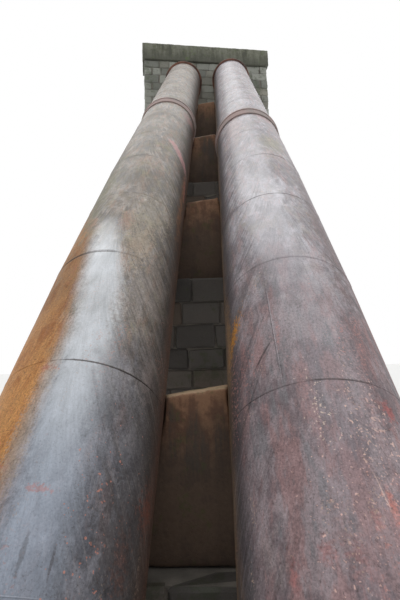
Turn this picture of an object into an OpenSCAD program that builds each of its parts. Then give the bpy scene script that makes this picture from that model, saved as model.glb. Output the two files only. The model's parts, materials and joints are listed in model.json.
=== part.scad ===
// Twin penstock pipes that climb a steep slope side by side. They lie in
// concrete saddles on stone piers and pass through a stone head wall with a
// concrete coping beam. Millimetres, X across, Y uphill, Z up. The origin is
// on the ground, at the middle of the lowest pier's foot.

/* [Pipes] */
// Inside diameter of each pipe
pipe_bore = 1370; // [1000:10:1450]
// Plate thickness of the pipes
plate = 10; // [8:1:20]
// Distance between the two pipe axes
pipe_spacing = 1960; // [1860:10:2400]
// Length of one rolled plate course
course_l = 1500; // [1200:50:1700]
// Courses from the open lower end to the first bend
lower_courses = 5; // [4:1:6]
// Courses between the two bends
middle_courses = 2; // [2:1:3]
// Courses from the second bend to the wall collar
upper_courses = 8; // [7:1:9]
// How much lower the right pipe's bends lie
right_lead = 250; // [0:10:500]

/* [Slope] */
// Slope of the lower run in degrees
lower_slope = 48.5; // [44:0.5:52]
// Slope of the middle run in degrees
middle_slope = 46.5; // [42:0.5:50]
// Slope of the upper run in degrees
upper_slope = 45; // [40:0.5:48]

/* [Flanges and joints] */
// Radial width of the flange at each open end
flange_w = 90; // [80:1:110]
// Thickness of that flange
flange_t = 45; // [25:1:60]
// Bolt holes in each flange
bolt_count = 24; // [16:4:32]
// Diameter of a bolt hole
bolt_hole_d = 30; // [20:1:36]
// From the pipe's outside to the bolt circle
bolt_inset = 52; // [45:1:60]
// Radial width of the collar in front of the wall
collar_w = 70; // [40:1:90]
// Thickness of that collar
collar_t = 60; // [30:1:90]
// From that collar to the weld at the bend above it
bend_clear = 20; // [5:5:60]
// Thickness of the sleeve over a slip joint
sleeve_t = 24; // [12:1:40]
// Length of the sleeve
sleeve_l = 380; // [250:10:600]
// Thickness of the lip at the sleeve's upper end
lip_t = 42; // [36:1:70]
// Length of that lip
lip_l = 70; // [40:5:120]
// From a slip joint's sleeve to the fourth saddle
slip_clear = 60; // [40:10:200]

/* [Saddles and piers] */
// Along the pipes from the lower end to the first saddle
first_saddle = 2450; // [1600:10:2800]
// Along the pipes from saddle to saddle
saddle_pitch = 4000; // [3500:50:4200]
// Thickness of a saddle, uphill
saddle_t = 400; // [300:10:600]
// Width of a saddle
saddle_w = 3200; // [2900:10:3600]
// Below the pipe axes to the crest between the pipes
crest_drop = 190; // [100:10:400]
// How much the crest rises from the left pipe's axis to the right one's
crest_fall = 260; // [0:5:340]
// Below the pipe axes to the saddle's outer shoulders
shoulder_drop = 560; // [450:10:700]
// Clear height between a pipe and the top of its pier
pier_clear = 110; // [60:10:300]
// Thickness of a pier at its top, uphill
pier_t = 900; // [700:10:1200]
// Width of a pier at its top
pier_w = 3400; // [3200:10:4000]
// Clear height under the flanges at the lower end
outlet_clear = 300; // [100:10:1500]
// Height of one lift of masonry
lift_h = 4000; // [3000:100:6000]
// How far each lift steps out below the one above
lift_step = 120; // [40:10:200]

/* [Head wall] */
// Along the pipes from the collar to the coping beam's face
wall_reach = 1000; // [900:10:1400]
// Turn of the wall in plan, right end uphill, in degrees
wall_skew = 10; // [0:1:12]
// Thickness of the wall at its top
wall_t = 900; // [600:10:1500]
// Width of the wall at its top
wall_w = 5360; // [4800:10:6400]
// Height of the wall's top lift, which the pipes pass through
top_lift_h = 4000; // [3200:50:5000]
// Length of the coping beam
beam_l = 5600; // [5000:10:6800]
// Height of the coping beam
beam_h = 800; // [500:10:1000]
// Beam top above the pipe axes, at the beam's face
beam_rise = 1540; // [1400:10:1900]
// How far the beam stands out over the wall
beam_overhang = 120; // [60:5:200]
// Chamfer along the beam's upper edges
beam_chamfer = 35; // [10:5:60]
// How far the pipes stand out of the wall's back
inlet_l = 220; // [150:10:400]

/* [Fits] */
// Clearance between a pipe and what holds it
seat_gap = 0.3; // [0.2:0.1:1]

/* [Hidden] */
$fn = 96;
far = 60000;
bar_l = 8 * pipe_bore;
// How far a cut runs past the face that it opens
cut_past = 1;
LEFT = 0;
RIGHT = 1;
pipe_r = pipe_bore / 2 + plate;
function lead(side) = side == RIGHT ? right_lead : 0;
function pipe_x(side) = (side == LEFT ? -1 : 1) * pipe_spacing / 2;
function first_bend(side) = lower_courses * course_l - lead(side);
function second_bend(side) = first_bend(side) + middle_courses * course_l;
collar_s = (lower_courses + middle_courses + upper_courses) * course_l;
wall_s = collar_s + wall_reach;

// Direction of a slope, and the step of a given length along it
function step(length, slope) = length * [0, cos(slope), sin(slope)];
// A pipe axis at a distance s along it from its lower end
function rel_point(s, side) =
    s <= first_bend(side) ? step(s, lower_slope)
    : s <= second_bend(side)
        ? step(first_bend(side), lower_slope) + step(s - first_bend(side), middle_slope)
    : step(first_bend(side), lower_slope)
        + step(second_bend(side) - first_bend(side), middle_slope)
        + step(s - second_bend(side), upper_slope);
function slope_at(s, side) =
    s <= first_bend(side) ? lower_slope : s <= second_bend(side) ? middle_slope : upper_slope;
function saddle_s(i) = first_saddle + i * saddle_pitch;
// The left pipe's slip joint lies just above the fourth saddle, and the
// right one's just below it
slip_near = saddle_t / 2 / cos(upper_slope) + sleeve_l / 2 + slip_clear;
function slip_s(side) =
    saddle_s(3) + (side == LEFT ? slip_near : -slip_near - pipe_r * tan(upper_slope));
// Ends of the three equal lengths between the slip joint and the collar
top_lengths = 3;
function top_s(k, side) =
    slip_s(side) + (collar_s - slip_s(side)) * k / top_lengths;
// From the pipe axes, at the middle of a saddle, down to the pier's top
function saddle_depth(i) =
    let (a = slope_at(saddle_s(i), LEFT))
        pier_t / 2 * tan(a) + pipe_r / cos(a) + pier_clear;
start = [0, -rel_point(first_saddle, LEFT)[1],
    outlet_clear + (pipe_r + flange_w) * cos(lower_slope)];
function point(s, side) = start + rel_point(s, side) + [pipe_x(side), 0, 0];
function saddle_y(i) = point(saddle_s(i), LEFT)[1];
function axis_z(i) = point(saddle_s(i), LEFT)[2];
function pier_h(i) = axis_z(i) - saddle_depth(i);
wall_y = point(wall_s, LEFT)[1];
wall_axis_z = point(wall_s, LEFT)[2];
// Above the collar the pipes turn level, before they reach the wall
elbow_s = collar_s + collar_t + bend_clear + pipe_r * tan(upper_slope / 2);
// A level pipe's square end clears the wall's turned back
function inlet_y(side) =
    wall_y + (beam_overhang + wall_t) / cos(wall_skew)
        + (pipe_x(side) + pipe_r) * tan(wall_skew) + inlet_l;
beam_top = wall_axis_z + beam_rise;
beam_bottom = beam_top - beam_h;
opening_bottom = beam_bottom - top_lift_h;
wall_lift_h = opening_bottom / 3;

// Places its children with their Z along a slope
module along(p, slope) translate(p) rotate([slope - 90, 0, 0]) children();

// All that lies above, or below, a plane across a pipe at p
module above(p, slope) along(p, slope) translate([-far / 2, -far / 2, 0]) cube(far);
module below(p, slope) along(p, slope) translate([-far / 2, -far / 2, -far]) cube(far);

// Places its children in the head wall's own turned frame, its face at y = 0
module at_wall() translate([0, wall_y, 0]) rotate([0, 0, wall_skew]) children();

// A straight tube between two stations of one run. It goes on past them, so
// that the end planes cut it.
module raw_run(side, s_from, s_to, slope) {
    length = s_to - s_from + 2 * pipe_r;
    along(point(s_from, side) - step(pipe_r, slope), slope)
        difference() {
            cylinder(r = pipe_r, h = length);
            translate([0, 0, -cut_past]) cylinder(d = pipe_bore, h = length + 2 * cut_past);
        }
}

// One straight run, cut across at each end at its own angle
module run(side, s_from, s_to, slope, cut_from, cut_to)
    difference() {
        raw_run(side, s_from, s_to, slope);
        below(point(s_from, side), cut_from);
        above(point(s_to, side), cut_to);
    }

first_mitre = (lower_slope + middle_slope) / 2;
second_mitre = (middle_slope + upper_slope) / 2;

module lower_run(side)
    run(side, 0, first_bend(side), lower_slope, lower_slope, first_mitre);

module middle_run(side)
    run(side, first_bend(side), second_bend(side), middle_slope, first_mitre, second_mitre);

module upper_run(side)
    run(side, second_bend(side), slip_s(side), upper_slope, second_mitre, upper_slope);

module top_run(side, k)
    run(side, top_s(k, side), top_s(k + 1, side), upper_slope, upper_slope, upper_slope);

// A long round bar on the line that leaves the pipe's axis at s with a slope
module bar_through(s, side, slope, r)
    along(point(s, side) - step(bar_l / 2, slope), slope) cylinder(r = r, h = bar_l);

// Cuts the seat of the pipe in saddle i. Where a bend is near, the bars of
// both runs cross, and below the pipe's axis they leave just its own shape.
module seat_cut(side, i) {
    r = pipe_r + seat_gap;
    a = slope_at(saddle_s(i), side);
    s = saddle_s(i);
    from = s - pipe_r * tan(a) - saddle_t;
    to = s + saddle_t;
    if (from < first_bend(side))
        bar_through(min(s, first_bend(side)), side, lower_slope, r);
    if (to > first_bend(side) && from < second_bend(side))
        bar_through(max(first_bend(side), min(s, second_bend(side))), side, middle_slope, r);
    if (to > second_bend(side))
        bar_through(max(s, second_bend(side)), side, upper_slope, r);
}

module ring(p, slope, r_in, r_out, h)
    along(p, slope)
        difference() {
            cylinder(r = r_out, h = h);
            translate([0, 0, -cut_past]) cylinder(r = r_in, h = h + 2 * cut_past);
        }

// Drilled flange whose lower or outer face lies at p
module flange(p, slope)
    color("saddlebrown")
        difference() {
            ring(p, slope, pipe_r + seat_gap, pipe_r + flange_w, flange_t);
            along(p, slope)
                for (i = [0 : bolt_count - 1])
                    rotate([0, 0, (i + 0.5) * 360 / bolt_count])
                        translate([pipe_r + bolt_inset, 0, -cut_past])
                            cylinder(d = bolt_hole_d, h = flange_t + 2 * cut_past, $fn = 24);
        }

module outlet_flange(side) flange(point(0, side), lower_slope);

module inlet_flange(side)
    flange([pipe_x(side), inlet_y(side) - flange_t, point(elbow_s, side)[2]], 0);

module slip_sleeve(side)
    color("sienna") {
        p = point(slip_s(side), side);
        difference() {
            union() {
                along(p - step(sleeve_l / 2, upper_slope), upper_slope)
                    cylinder(r = pipe_r + sleeve_t, h = sleeve_l);
                along(p + step(sleeve_l / 2 - lip_l, upper_slope), upper_slope)
                    cylinder(r = pipe_r + lip_t, h = lip_l);
            }
            along(p - step(sleeve_l, upper_slope), upper_slope)
                cylinder(r = pipe_r + seat_gap, h = 2 * sleeve_l);
        }
    }

module wall_collar(side)
    color("sienna")
        ring(point(collar_s, side), upper_slope, pipe_r + seat_gap, pipe_r + collar_w, collar_t);

// The sloping piece from the collar to the bend
module bend_piece(side)
    run(side, collar_s, elbow_s, upper_slope, upper_slope, upper_slope / 2);

// A level bar from that bend to a distance past the wall's back
module level_bar(side, r, past) {
    bend = point(elbow_s, side);
    translate(bend - [0, pipe_r, 0])
        rotate([-90, 0, 0]) cylinder(r = r, h = pipe_r + inlet_y(side) - bend[1] + past);
}

// The level pipe from the bend through the wall
module inlet_pipe(side)
    difference() {
        level_bar(side, pipe_r, 0);
        level_bar(side, pipe_bore / 2, cut_past);
        below(point(elbow_s, side), upper_slope / 2);
    }

// Concrete saddle with a seat for each pipe, its crest a little tilted
module saddle(i)
    color("rosybrown")
        difference() {
            translate([0, saddle_y(i) + saddle_t / 2, axis_z(i)])
                rotate([90, 0, 0])
                    linear_extrude(saddle_t)
                        polygon([
                            [-saddle_w / 2, -saddle_depth(i)],
                            [saddle_w / 2, -saddle_depth(i)],
                            [saddle_w / 2, -shoulder_drop],
                            [pipe_spacing / 2, -shoulder_drop],
                            [pipe_spacing / 2, crest_fall / 2 - crest_drop],
                            [-pipe_spacing / 2, -crest_fall / 2 - crest_drop],
                            [-pipe_spacing / 2, -shoulder_drop],
                            [-saddle_w / 2, -shoulder_drop]
                        ]);
            seat_cut(LEFT, i);
            seat_cut(RIGHT, i);
        }

// Stone block that steps out at each lift, its top at z = h. The lifts are
// counted up from the ground.
module stepped(w, t, h)
    let (lifts = ceil(h / lift_h))
        for (k = [0 : lifts - 1]) {
            out = (lifts - 1 - k) * lift_step;
            translate([-w / 2 - out, -t / 2 - out, k * lift_h])
                cube([w + 2 * out, t + 2 * out, min(lift_h, h - k * lift_h)]);
        }

module pier(i)
    color("darkslategray")
        translate([0, saddle_y(i), 0]) stepped(pier_w, pier_t, pier_h(i));

// One lift of the head wall, from z = bottom to z = top
module wall_lift(bottom, top, out)
    at_wall()
        translate([-wall_w / 2 - out, beam_overhang - out, bottom])
            cube([wall_w + 2 * out, wall_t + 2 * out, top - bottom]);

module head_wall_foot()
    color("darkslategray") wall_lift(0, wall_lift_h, 3 * lift_step);

module head_wall_lower()
    color("darkslategray") wall_lift(wall_lift_h, 2 * wall_lift_h, 2 * lift_step);

module head_wall_middle()
    color("darkslategray") wall_lift(2 * wall_lift_h, opening_bottom, lift_step);

module head_wall_top()
    color("slategray")
        difference() {
            wall_lift(opening_bottom, beam_bottom, 0);
            level_bar(LEFT, pipe_r + seat_gap, wall_t);
            level_bar(RIGHT, pipe_r + seat_gap, wall_t);
        }

module coping_beam()
    color("darkolivegreen")
        at_wall()
            translate([-beam_l / 2, 0, beam_bottom])
                rotate([90, 0, 90])
                    linear_extrude(beam_l)
                        polygon([
                            [0, 0],
                            [wall_t + 2 * beam_overhang, 0],
                            [wall_t + 2 * beam_overhang, beam_h - beam_chamfer],
                            [wall_t + 2 * beam_overhang - beam_chamfer, beam_h],
                            [beam_chamfer, beam_h],
                            [0, beam_h - beam_chamfer]
                        ]);

module left_outlet_flange() outlet_flange(LEFT);
module left_lower_run() color("peru") lower_run(LEFT);
module left_middle_run() color("peru") middle_run(LEFT);
module left_upper_run() color("rosybrown") upper_run(LEFT);
module left_slip_sleeve() slip_sleeve(LEFT);
module left_top_run_1() color("rosybrown") top_run(LEFT, 0);
module left_top_run_2() color("rosybrown") top_run(LEFT, 1);
module left_top_run_3() color("rosybrown") top_run(LEFT, 2);
module left_wall_collar() wall_collar(LEFT);
module left_bend_piece() color("dimgray") bend_piece(LEFT);
module left_inlet_pipe() color("dimgray") inlet_pipe(LEFT);
module left_inlet_flange() inlet_flange(LEFT);
module right_outlet_flange() outlet_flange(RIGHT);
module right_lower_run() color("dimgray") lower_run(RIGHT);
module right_middle_run() color("dimgray") middle_run(RIGHT);
module right_upper_run() color("rosybrown") upper_run(RIGHT);
module right_slip_sleeve() slip_sleeve(RIGHT);
module right_top_run_1() color("rosybrown") top_run(RIGHT, 0);
module right_top_run_2() color("rosybrown") top_run(RIGHT, 1);
module right_top_run_3() color("rosybrown") top_run(RIGHT, 2);
module right_wall_collar() wall_collar(RIGHT);
module right_bend_piece() color("dimgray") bend_piece(RIGHT);
module right_inlet_pipe() color("dimgray") inlet_pipe(RIGHT);
module right_inlet_flange() inlet_flange(RIGHT);

left_outlet_flange();
left_lower_run();
left_middle_run();
left_upper_run();
left_slip_sleeve();
left_top_run_1();
left_top_run_2();
left_top_run_3();
left_wall_collar();
left_bend_piece();
left_inlet_pipe();
left_inlet_flange();
right_outlet_flange();
right_lower_run();
right_middle_run();
right_upper_run();
right_slip_sleeve();
right_top_run_1();
right_top_run_2();
right_top_run_3();
right_wall_collar();
right_bend_piece();
right_inlet_pipe();
right_inlet_flange();
saddle(0);  // saddle_1
saddle(1);  // saddle_2
saddle(2);  // saddle_3
saddle(3);  // saddle_4
saddle(4);  // saddle_5
pier(0);  // pier_1
pier(1);  // pier_2
pier(2);  // pier_3
pier(3);  // pier_4
pier(4);  // pier_5
head_wall_foot();
head_wall_lower();
head_wall_middle();
head_wall_top();
coping_beam();
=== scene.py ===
"""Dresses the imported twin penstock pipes.

Steel shells with their weld beads, iron joints, worn concrete saddles and
beam, squared stone laid in courses, and the studio they are shown in.
"""
import json
import logging
import math
from contextlib import contextmanager
from dataclasses import dataclass, field
from enum import Enum
from typing import Iterator, Optional, Sequence, Union

import bpy
import numpy as np
from mathutils import Euler, Matrix, Vector


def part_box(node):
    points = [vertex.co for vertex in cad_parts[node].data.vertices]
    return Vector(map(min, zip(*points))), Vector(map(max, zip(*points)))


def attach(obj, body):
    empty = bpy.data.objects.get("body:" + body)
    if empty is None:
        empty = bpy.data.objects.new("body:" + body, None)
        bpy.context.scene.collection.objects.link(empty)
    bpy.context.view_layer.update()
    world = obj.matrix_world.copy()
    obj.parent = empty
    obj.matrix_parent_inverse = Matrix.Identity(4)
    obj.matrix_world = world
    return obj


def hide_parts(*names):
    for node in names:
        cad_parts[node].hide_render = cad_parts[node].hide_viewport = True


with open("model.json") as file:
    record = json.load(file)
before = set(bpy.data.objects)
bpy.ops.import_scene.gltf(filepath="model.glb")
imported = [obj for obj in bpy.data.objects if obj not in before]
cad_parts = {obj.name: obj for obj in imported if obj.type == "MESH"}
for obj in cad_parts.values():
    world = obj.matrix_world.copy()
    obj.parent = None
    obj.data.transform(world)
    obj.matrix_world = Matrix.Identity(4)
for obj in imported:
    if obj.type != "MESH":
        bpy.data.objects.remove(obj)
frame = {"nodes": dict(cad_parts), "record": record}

log = logging.getLogger("penstock")

Triple = tuple[float, float, float]
Colour = Triple
Curve = tuple[tuple[float, float], ...]
Value = Union["Wire", float, int]

HALF_TURN = 180.0


# Shader tools


class Wire:
    """A shader socket that takes part in Python arithmetic."""

    def __init__(self, board: "Board", socket: bpy.types.NodeSocket) -> None:
        """Remembers the board that the socket is on.

        Args:
            board: The node tree the socket belongs to.
            socket: The output socket.
        """
        self.board = board
        self.socket = socket

    def __add__(self, other: Value) -> "Wire":
        """Returns the sum."""
        return self.board.math("ADD", self, other)

    __radd__ = __add__

    def __mul__(self, other: Value) -> "Wire":
        """Returns the product."""
        return self.board.math("MULTIPLY", self, other)

    __rmul__ = __mul__

    def __sub__(self, other: Value) -> "Wire":
        """Returns this less the other."""
        return self.board.math("SUBTRACT", self, other)

    def __rsub__(self, other: Value) -> "Wire":
        """Returns the other less this."""
        return self.board.math("SUBTRACT", other, self)

    def __truediv__(self, other: Value) -> "Wire":
        """Returns the quotient."""
        return self.board.math("DIVIDE", self, other)

    def __pow__(self, other: Value) -> "Wire":
        """Returns this raised to a power."""
        return self.board.math("POWER", self, other)

    def __abs__(self) -> "Wire":
        """Returns the size without its sign."""
        return self.board.math("ABSOLUTE", self)


class Board:
    """A node tree that is wired up from Python expressions."""

    def __init__(self, tree: bpy.types.NodeTree) -> None:
        """Empties the tree.

        Args:
            tree: The node tree of a material or of the world.
        """
        self.tree = tree
        tree.nodes.clear()

    @staticmethod
    def material(name: str) -> tuple[bpy.types.Material, "Board"]:
        """Makes a new material.

        Args:
            name: The finish's name.

        Returns:
            The material and its empty board.
        """
        made = bpy.data.materials.new(name)
        made.use_nodes = True
        return made, Board(made.node_tree)

    def node(self, kind: str, settings: Optional[dict] = None,
             inputs: Optional[dict] = None, output: Union[int, str] = 0) -> Wire:
        """Adds any node.

        Args:
            kind: The node's type.
            settings: Its settings; "stops" holds a ramp's stops.
            inputs: Values or wires by socket name or number.
            output: Which output to return.

        Returns:
            The chosen output.
        """
        made = self.tree.nodes.new(kind)
        for key, value in (settings or {}).items():
            if key == "stops":
                self._stops(made, value)
            else:
                setattr(made, key, value)
        for key, value in (inputs or {}).items():
            socket = made.inputs[key]
            if isinstance(value, Wire):
                self.tree.links.new(value.socket, socket)
            elif socket.type == "RGBA":
                socket.default_value = (*value[:3], 1.0)
            else:
                socket.default_value = value
        return Wire(self, made.outputs[output])

    @staticmethod
    def _stops(made: bpy.types.Node, stops: Sequence[tuple[float, float]]) -> None:
        """Sets a ramp's stops to grey levels.

        Args:
            made: The ramp node.
            stops: Pairs of place and level, from 0 to 1.
        """
        items = made.color_ramp.elements
        while len(items) < len(stops):
            items.new(1.0)
        for item, (place, level) in zip(items, stops):
            item.position = place
            item.color = (level, level, level, 1.0)

    def math(self, operation: str, *values: Value) -> Wire:
        """Adds a Math node.

        Args:
            operation: The node's operation.
            *values: One to three values or wires.

        Returns:
            The result.
        """
        return self.node("ShaderNodeMath", {"operation": operation}, dict(enumerate(values)))

    def mix(self, mask: Value, first: Union[Wire, Colour], second: Union[Wire, Colour]) -> Wire:
        """Goes from the first colour to the second as the mask goes from 0 to 1."""
        return self.node("ShaderNodeMix", {"data_type": "RGBA"}, {0: mask, 6: first, 7: second}, 2)

    def tint(self, colour: Wire, strength: Value) -> Wire:
        """Makes a colour lighter or darker by a factor."""
        return self.node("ShaderNodeVectorMath", {"operation": "SCALE"},
                         {"Vector": colour, "Scale": strength})

    def blend(self, mask: Value, first: Value, second: Value) -> Wire:
        """Goes from the first number to the second as the mask goes from 0 to 1."""
        return self.node("ShaderNodeMix", {"data_type": "FLOAT"}, {0: mask, 2: first, 3: second})

    def band(self, value: Wire, low: float, high: float) -> Wire:
        """A soft step, which falls where high is less than low.

        Args:
            value: What it depends on.
            low: Where it is 0.
            high: Where it is 1.

        Returns:
            The step.
        """
        turned = high < low
        ends = (high, low) if turned else (low, high)
        step = self.node("ShaderNodeMapRange", {"interpolation_type": "SMOOTHSTEP"},
                         {"Value": value, "From Min": ends[0], "From Max": ends[1]})
        return 1 - step if turned else step

    def curve(self, value: Wire, points: Sequence[tuple[float, float]], reach: float) -> Wire:
        """A number that follows straight lines between points.

        Args:
            value: What it depends on.
            points: Pairs of value and result, in order.
            reach: The largest size of a result.

        Returns:
            The result.
        """
        first, last = points[0][0], points[-1][0]
        stops = [((at - first) / (last - first), level / reach / 2 + 0.5) for at, level in points]
        ramp = self.node("ShaderNodeValToRGB", {"stops": stops},
                         {0: (value - first) / (last - first)})
        return (ramp - 0.5) * (2 * reach)

    def split(self, vector: Wire) -> tuple[Wire, Wire, Wire]:
        """Splits a vector.

        Args:
            vector: The vector.

        Returns:
            Its three numbers.
        """
        made = self.node("ShaderNodeSeparateXYZ", inputs={0: vector})
        outs = made.socket.node.outputs
        return tuple(Wire(self, outs[i]) for i in range(3))

    def join(self, x: Value, y: Value, z: Value) -> Wire:
        """Joins three numbers to a vector."""
        return self.node("ShaderNodeCombineXYZ", inputs={0: x, 1: y, 2: z})

    def stretch(self, vector: Wire, factors: Triple) -> Wire:
        """Multiplies a vector by three factors."""
        return self.node("ShaderNodeVectorMath", {"operation": "MULTIPLY"},
                         {0: vector, 1: factors})

    def noise(self, vector: Wire, scale: float, detail: float = 4.0, rough: float = 0.55,
              distort: float = 0.0) -> Wire:
        """A cloudy noise about 0.5.

        Args:
            vector: The point.
            scale: How fine it is.
            detail: How many finer layers it has.
            rough: How strong the finer layers are.
            distort: How far it is drawn out of shape.

        Returns:
            The noise.
        """
        return self.node("ShaderNodeTexNoise", {}, {"Vector": vector, "Scale": scale,
                                                    "Detail": detail, "Roughness": rough,
                                                    "Distortion": distort})

    def cells(self, vector: Wire, scale: float) -> Wire:
        """Distance to the nearest of many scattered points."""
        return self.node("ShaderNodeTexVoronoi", {}, {"Vector": vector, "Scale": scale})

    def attribute(self, name: str, output: str) -> Wire:
        """Reads one of a piece's own attributes."""
        return self.node("ShaderNodeAttribute", {"attribute_name": name}, output=output)

    def place(self) -> Wire:
        """The point on the piece, in metres."""
        return self.node("ShaderNodeTexCoord", output="Object")

    def upward(self) -> Wire:
        """How far the surface faces up, from -1 to 1."""
        return self.split(self.node("ShaderNodeNewGeometry", output="Normal"))[2]

    def bump(self, height: Wire, depth: float, strength: float = 1.0) -> Wire:
        """A normal for relief of a given depth, in metres."""
        return self.node("ShaderNodeBump", inputs={"Height": height, "Distance": depth,
                                                   "Strength": strength})

    def surface(self, **sockets: Union[Wire, float, Colour]) -> None:
        """Closes the material with a surface shader.

        Args:
            **sockets: Its sockets, with spaces written as underscores.
        """
        named = {key.replace("_", " "): value for key, value in sockets.items()}
        self.close(self.node("ShaderNodeBsdfPrincipled", inputs=named), "Material")

    def close(self, made: Wire, kind: str) -> None:
        """Links a shader to the output of a material or world."""
        end = self.tree.nodes.new(f"ShaderNodeOutput{kind}")
        self.tree.links.new(made.socket, end.inputs["Surface"])


# Layout and modelling helpers


class Side(Enum):
    """The two pipes, as seen when looking uphill."""

    LEFT = "left"
    RIGHT = "right"


@dataclass(frozen=True)
class Layout:
    """The driving sizes of the construction, in metres and degrees.

    A station is the distance along a pipe's axis from its lower end, the slopes are those of its
    three straight stretches from there up, and the right pipe's lead is how much further down its
    ring seams and bends lie.
    """

    radius: float = 0.695
    plate: float = 0.010
    spacing: float = 1.960
    course: float = 1.5
    lower_end: Vector = field(default_factory=lambda: Vector((0.0, 0.0, 0.0)))
    bend_stations: tuple[float, float] = (7.5, 10.5)
    right_lead: float = 0.25
    slopes: Triple = (48.5, 46.5, 45.0)
    collar_station: float = 22.5
    collar_length: float = 0.06
    bend_clear: float = 0.02
    saddle_stations: tuple[float, ...] = (2.45, 6.45, 10.45, 14.45, 18.45)
    saddle_thickness: float = 0.40
    sleeve_length: float = 0.38
    slip_clear: float = 0.06
    pier_size: tuple[float, float] = (3.4, 0.9)
    beam_length: float = 5.6
    wall_face: float = 0.0
    wall_skew: float = 10.0
    wall_overhang: float = 0.12
    wall_size: tuple[float, float] = (5.36, 0.9)
    lift_step: float = 0.12
    lift_height: float = 4.0

    @property
    def elbow_station(self) -> float:
        """Returns the station where a pipe turns level before the head wall."""
        bend_start = self.collar_station + self.collar_length + self.bend_clear
        return bend_start + self.radius * math.tan(math.radians(self.slopes[2] / 2))

    def lead(self, side: Side) -> float:
        """Returns how far a pipe's ring seams lie below whole courses."""
        return self.right_lead if side is Side.RIGHT else 0.0

    def bends(self, side: Side) -> tuple[float, float]:
        """Returns the stations of a pipe's two slight bends."""
        lead = self.lead(side)
        return self.bend_stations[0] - lead, self.bend_stations[1] - lead

    @staticmethod
    def heading(slope: float) -> Vector:
        """Returns the direction of a slope."""
        return Vector((0.0, math.cos(math.radians(slope)), math.sin(math.radians(slope))))

    def slope_at(self, side: Side, station: float) -> float:
        """Returns a pipe's slope at a station, in degrees."""
        return self.slopes[sum(station > bend for bend in self.bends(side))]

    def facing(self, side: Side, station: float) -> float:
        """Finds the way that a ring seam faces.

        Args:
            side: Which pipe.
            station: Where the seam lies.

        Returns:
            The pipe's slope in degrees, or at a bend the mean of the slopes on both sides.
        """
        bends = self.bends(side)
        if station not in bends:
            return self.slope_at(side, station)
        below = bends.index(station)
        return (self.slopes[below] + self.slopes[below + 1]) / 2

    def point(self, side: Side, station: float) -> Vector:
        """Finds a point on a pipe's axis.

        Args:
            side: Which pipe.
            station: Distance along it from its lower end.

        Returns:
            The point.
        """
        place = Vector((0.0, self.lower_end.y, self.lower_end.z))
        place.x = (-0.5 if side is Side.LEFT else 0.5) * self.spacing
        first, second = self.bends(side)
        ends = (min(station, first), min(max(station - first, 0.0), second - first),
                max(station - second, 0.0))
        for length, slope in zip(ends, self.slopes):
            place = place + self.heading(slope) * length
        return place

    def slip_station(self, side: Side) -> float:
        """Finds a pipe's slip joint, just above the fourth saddle or just below it.

        Args:
            side: Which pipe.

        Returns:
            Its station. Below the saddle it is one radius further off, because the underside of
            a pipe at 45 degrees meets the upright saddle one radius below its axis.
        """
        seat = self.saddle_thickness / 2 / math.cos(math.radians(self.slopes[2]))
        near = seat + (self.sleeve_length / 2 + self.slip_clear)
        return self.saddle_stations[3] + (near if side is Side.LEFT else -near - self.radius)


def clear_selection() -> None:
    """Deselects every object."""
    bpy.ops.object.select_all(action="DESELECT")


def take(piece: bpy.types.Object) -> None:
    """Selects one object alone and makes it active.

    Args:
        piece: The object.
    """
    clear_selection()
    piece.hide_viewport = False
    piece.select_set(True)
    bpy.context.view_layer.objects.active = piece


def apply_place(piece: bpy.types.Object) -> None:
    """Puts an object's place into its mesh."""
    take(piece)
    bpy.ops.object.transform_apply(location=True, rotation=True, scale=True)


@contextmanager
def edit_mode(select_all: bool = True) -> Iterator[None]:
    """Opens the active object's mesh in edit mode.

    Args:
        select_all: Whether everything is selected first.

    Yields:
        Nothing: the edits stand in the with block.
    """
    bpy.ops.object.mode_set(mode="EDIT")
    if select_all:
        bpy.ops.mesh.select_all(action="SELECT")
    yield
    bpy.ops.object.mode_set(mode="OBJECT")


def modify(piece: bpy.types.Object, kind: str, **settings: object) -> None:
    """Adds a modifier and applies it.

    Args:
        piece: The object.
        kind: The modifier's type.
        **settings: The modifier's settings.
    """
    take(piece)
    made = piece.modifiers.new(kind.title(), kind)
    for key, value in settings.items():
        setattr(made, key, value)
    bpy.ops.object.modifier_apply(modifier=made.name)


def clouds(name: str, size: float, depth: int = 2) -> bpy.types.Texture:
    """Makes a cloudy relief for a Displace modifier.

    Args:
        name: The relief's name.
        size: Size of its lumps in metres.
        depth: How many finer layers it has.

    Returns:
        The texture.
    """
    made = bpy.data.textures.new(name, "CLOUDS")
    made.noise_scale = size
    made.noise_depth = depth
    return made


def points_of(piece: bpy.types.Object) -> np.ndarray:
    """Reads a piece's points.

    Args:
        piece: The piece.

    Returns:
        Their places, one to a row.
    """
    points = np.empty(len(piece.data.vertices) * 3, np.float32)
    piece.data.vertices.foreach_get("co", points)
    return points.reshape(-1, 3)


def write_attribute(mesh: bpy.types.Mesh, name: str, values: np.ndarray) -> None:
    """Stores a number or a vector for each point of a mesh.

    Args:
        mesh: The mesh.
        name: The attribute's name.
        values: A number or a row of three for each point.
    """
    kind, key = ("FLOAT_VECTOR", "vector") if values.ndim == 2 else ("FLOAT", "value")
    store = mesh.attributes.new(name, kind, "POINT")
    store.data.foreach_set(key, values.astype(np.float32).ravel())


def add_object(name: str, data: bpy.types.ID) -> bpy.types.Object:
    """Puts a mesh, a light or a camera into the scene.

    Args:
        name: The new object's name.
        data: Its mesh, light or camera.

    Returns:
        The object.
    """
    made = bpy.data.objects.new(name, data)
    bpy.context.scene.collection.objects.link(made)
    return made


def smooth(piece: bpy.types.Object, angle: float = 40.0) -> None:
    """Shades a piece smooth, apart from its edges sharper than an angle in degrees."""
    take(piece)
    bpy.ops.object.shade_smooth_by_angle(angle=math.radians(angle))


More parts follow.
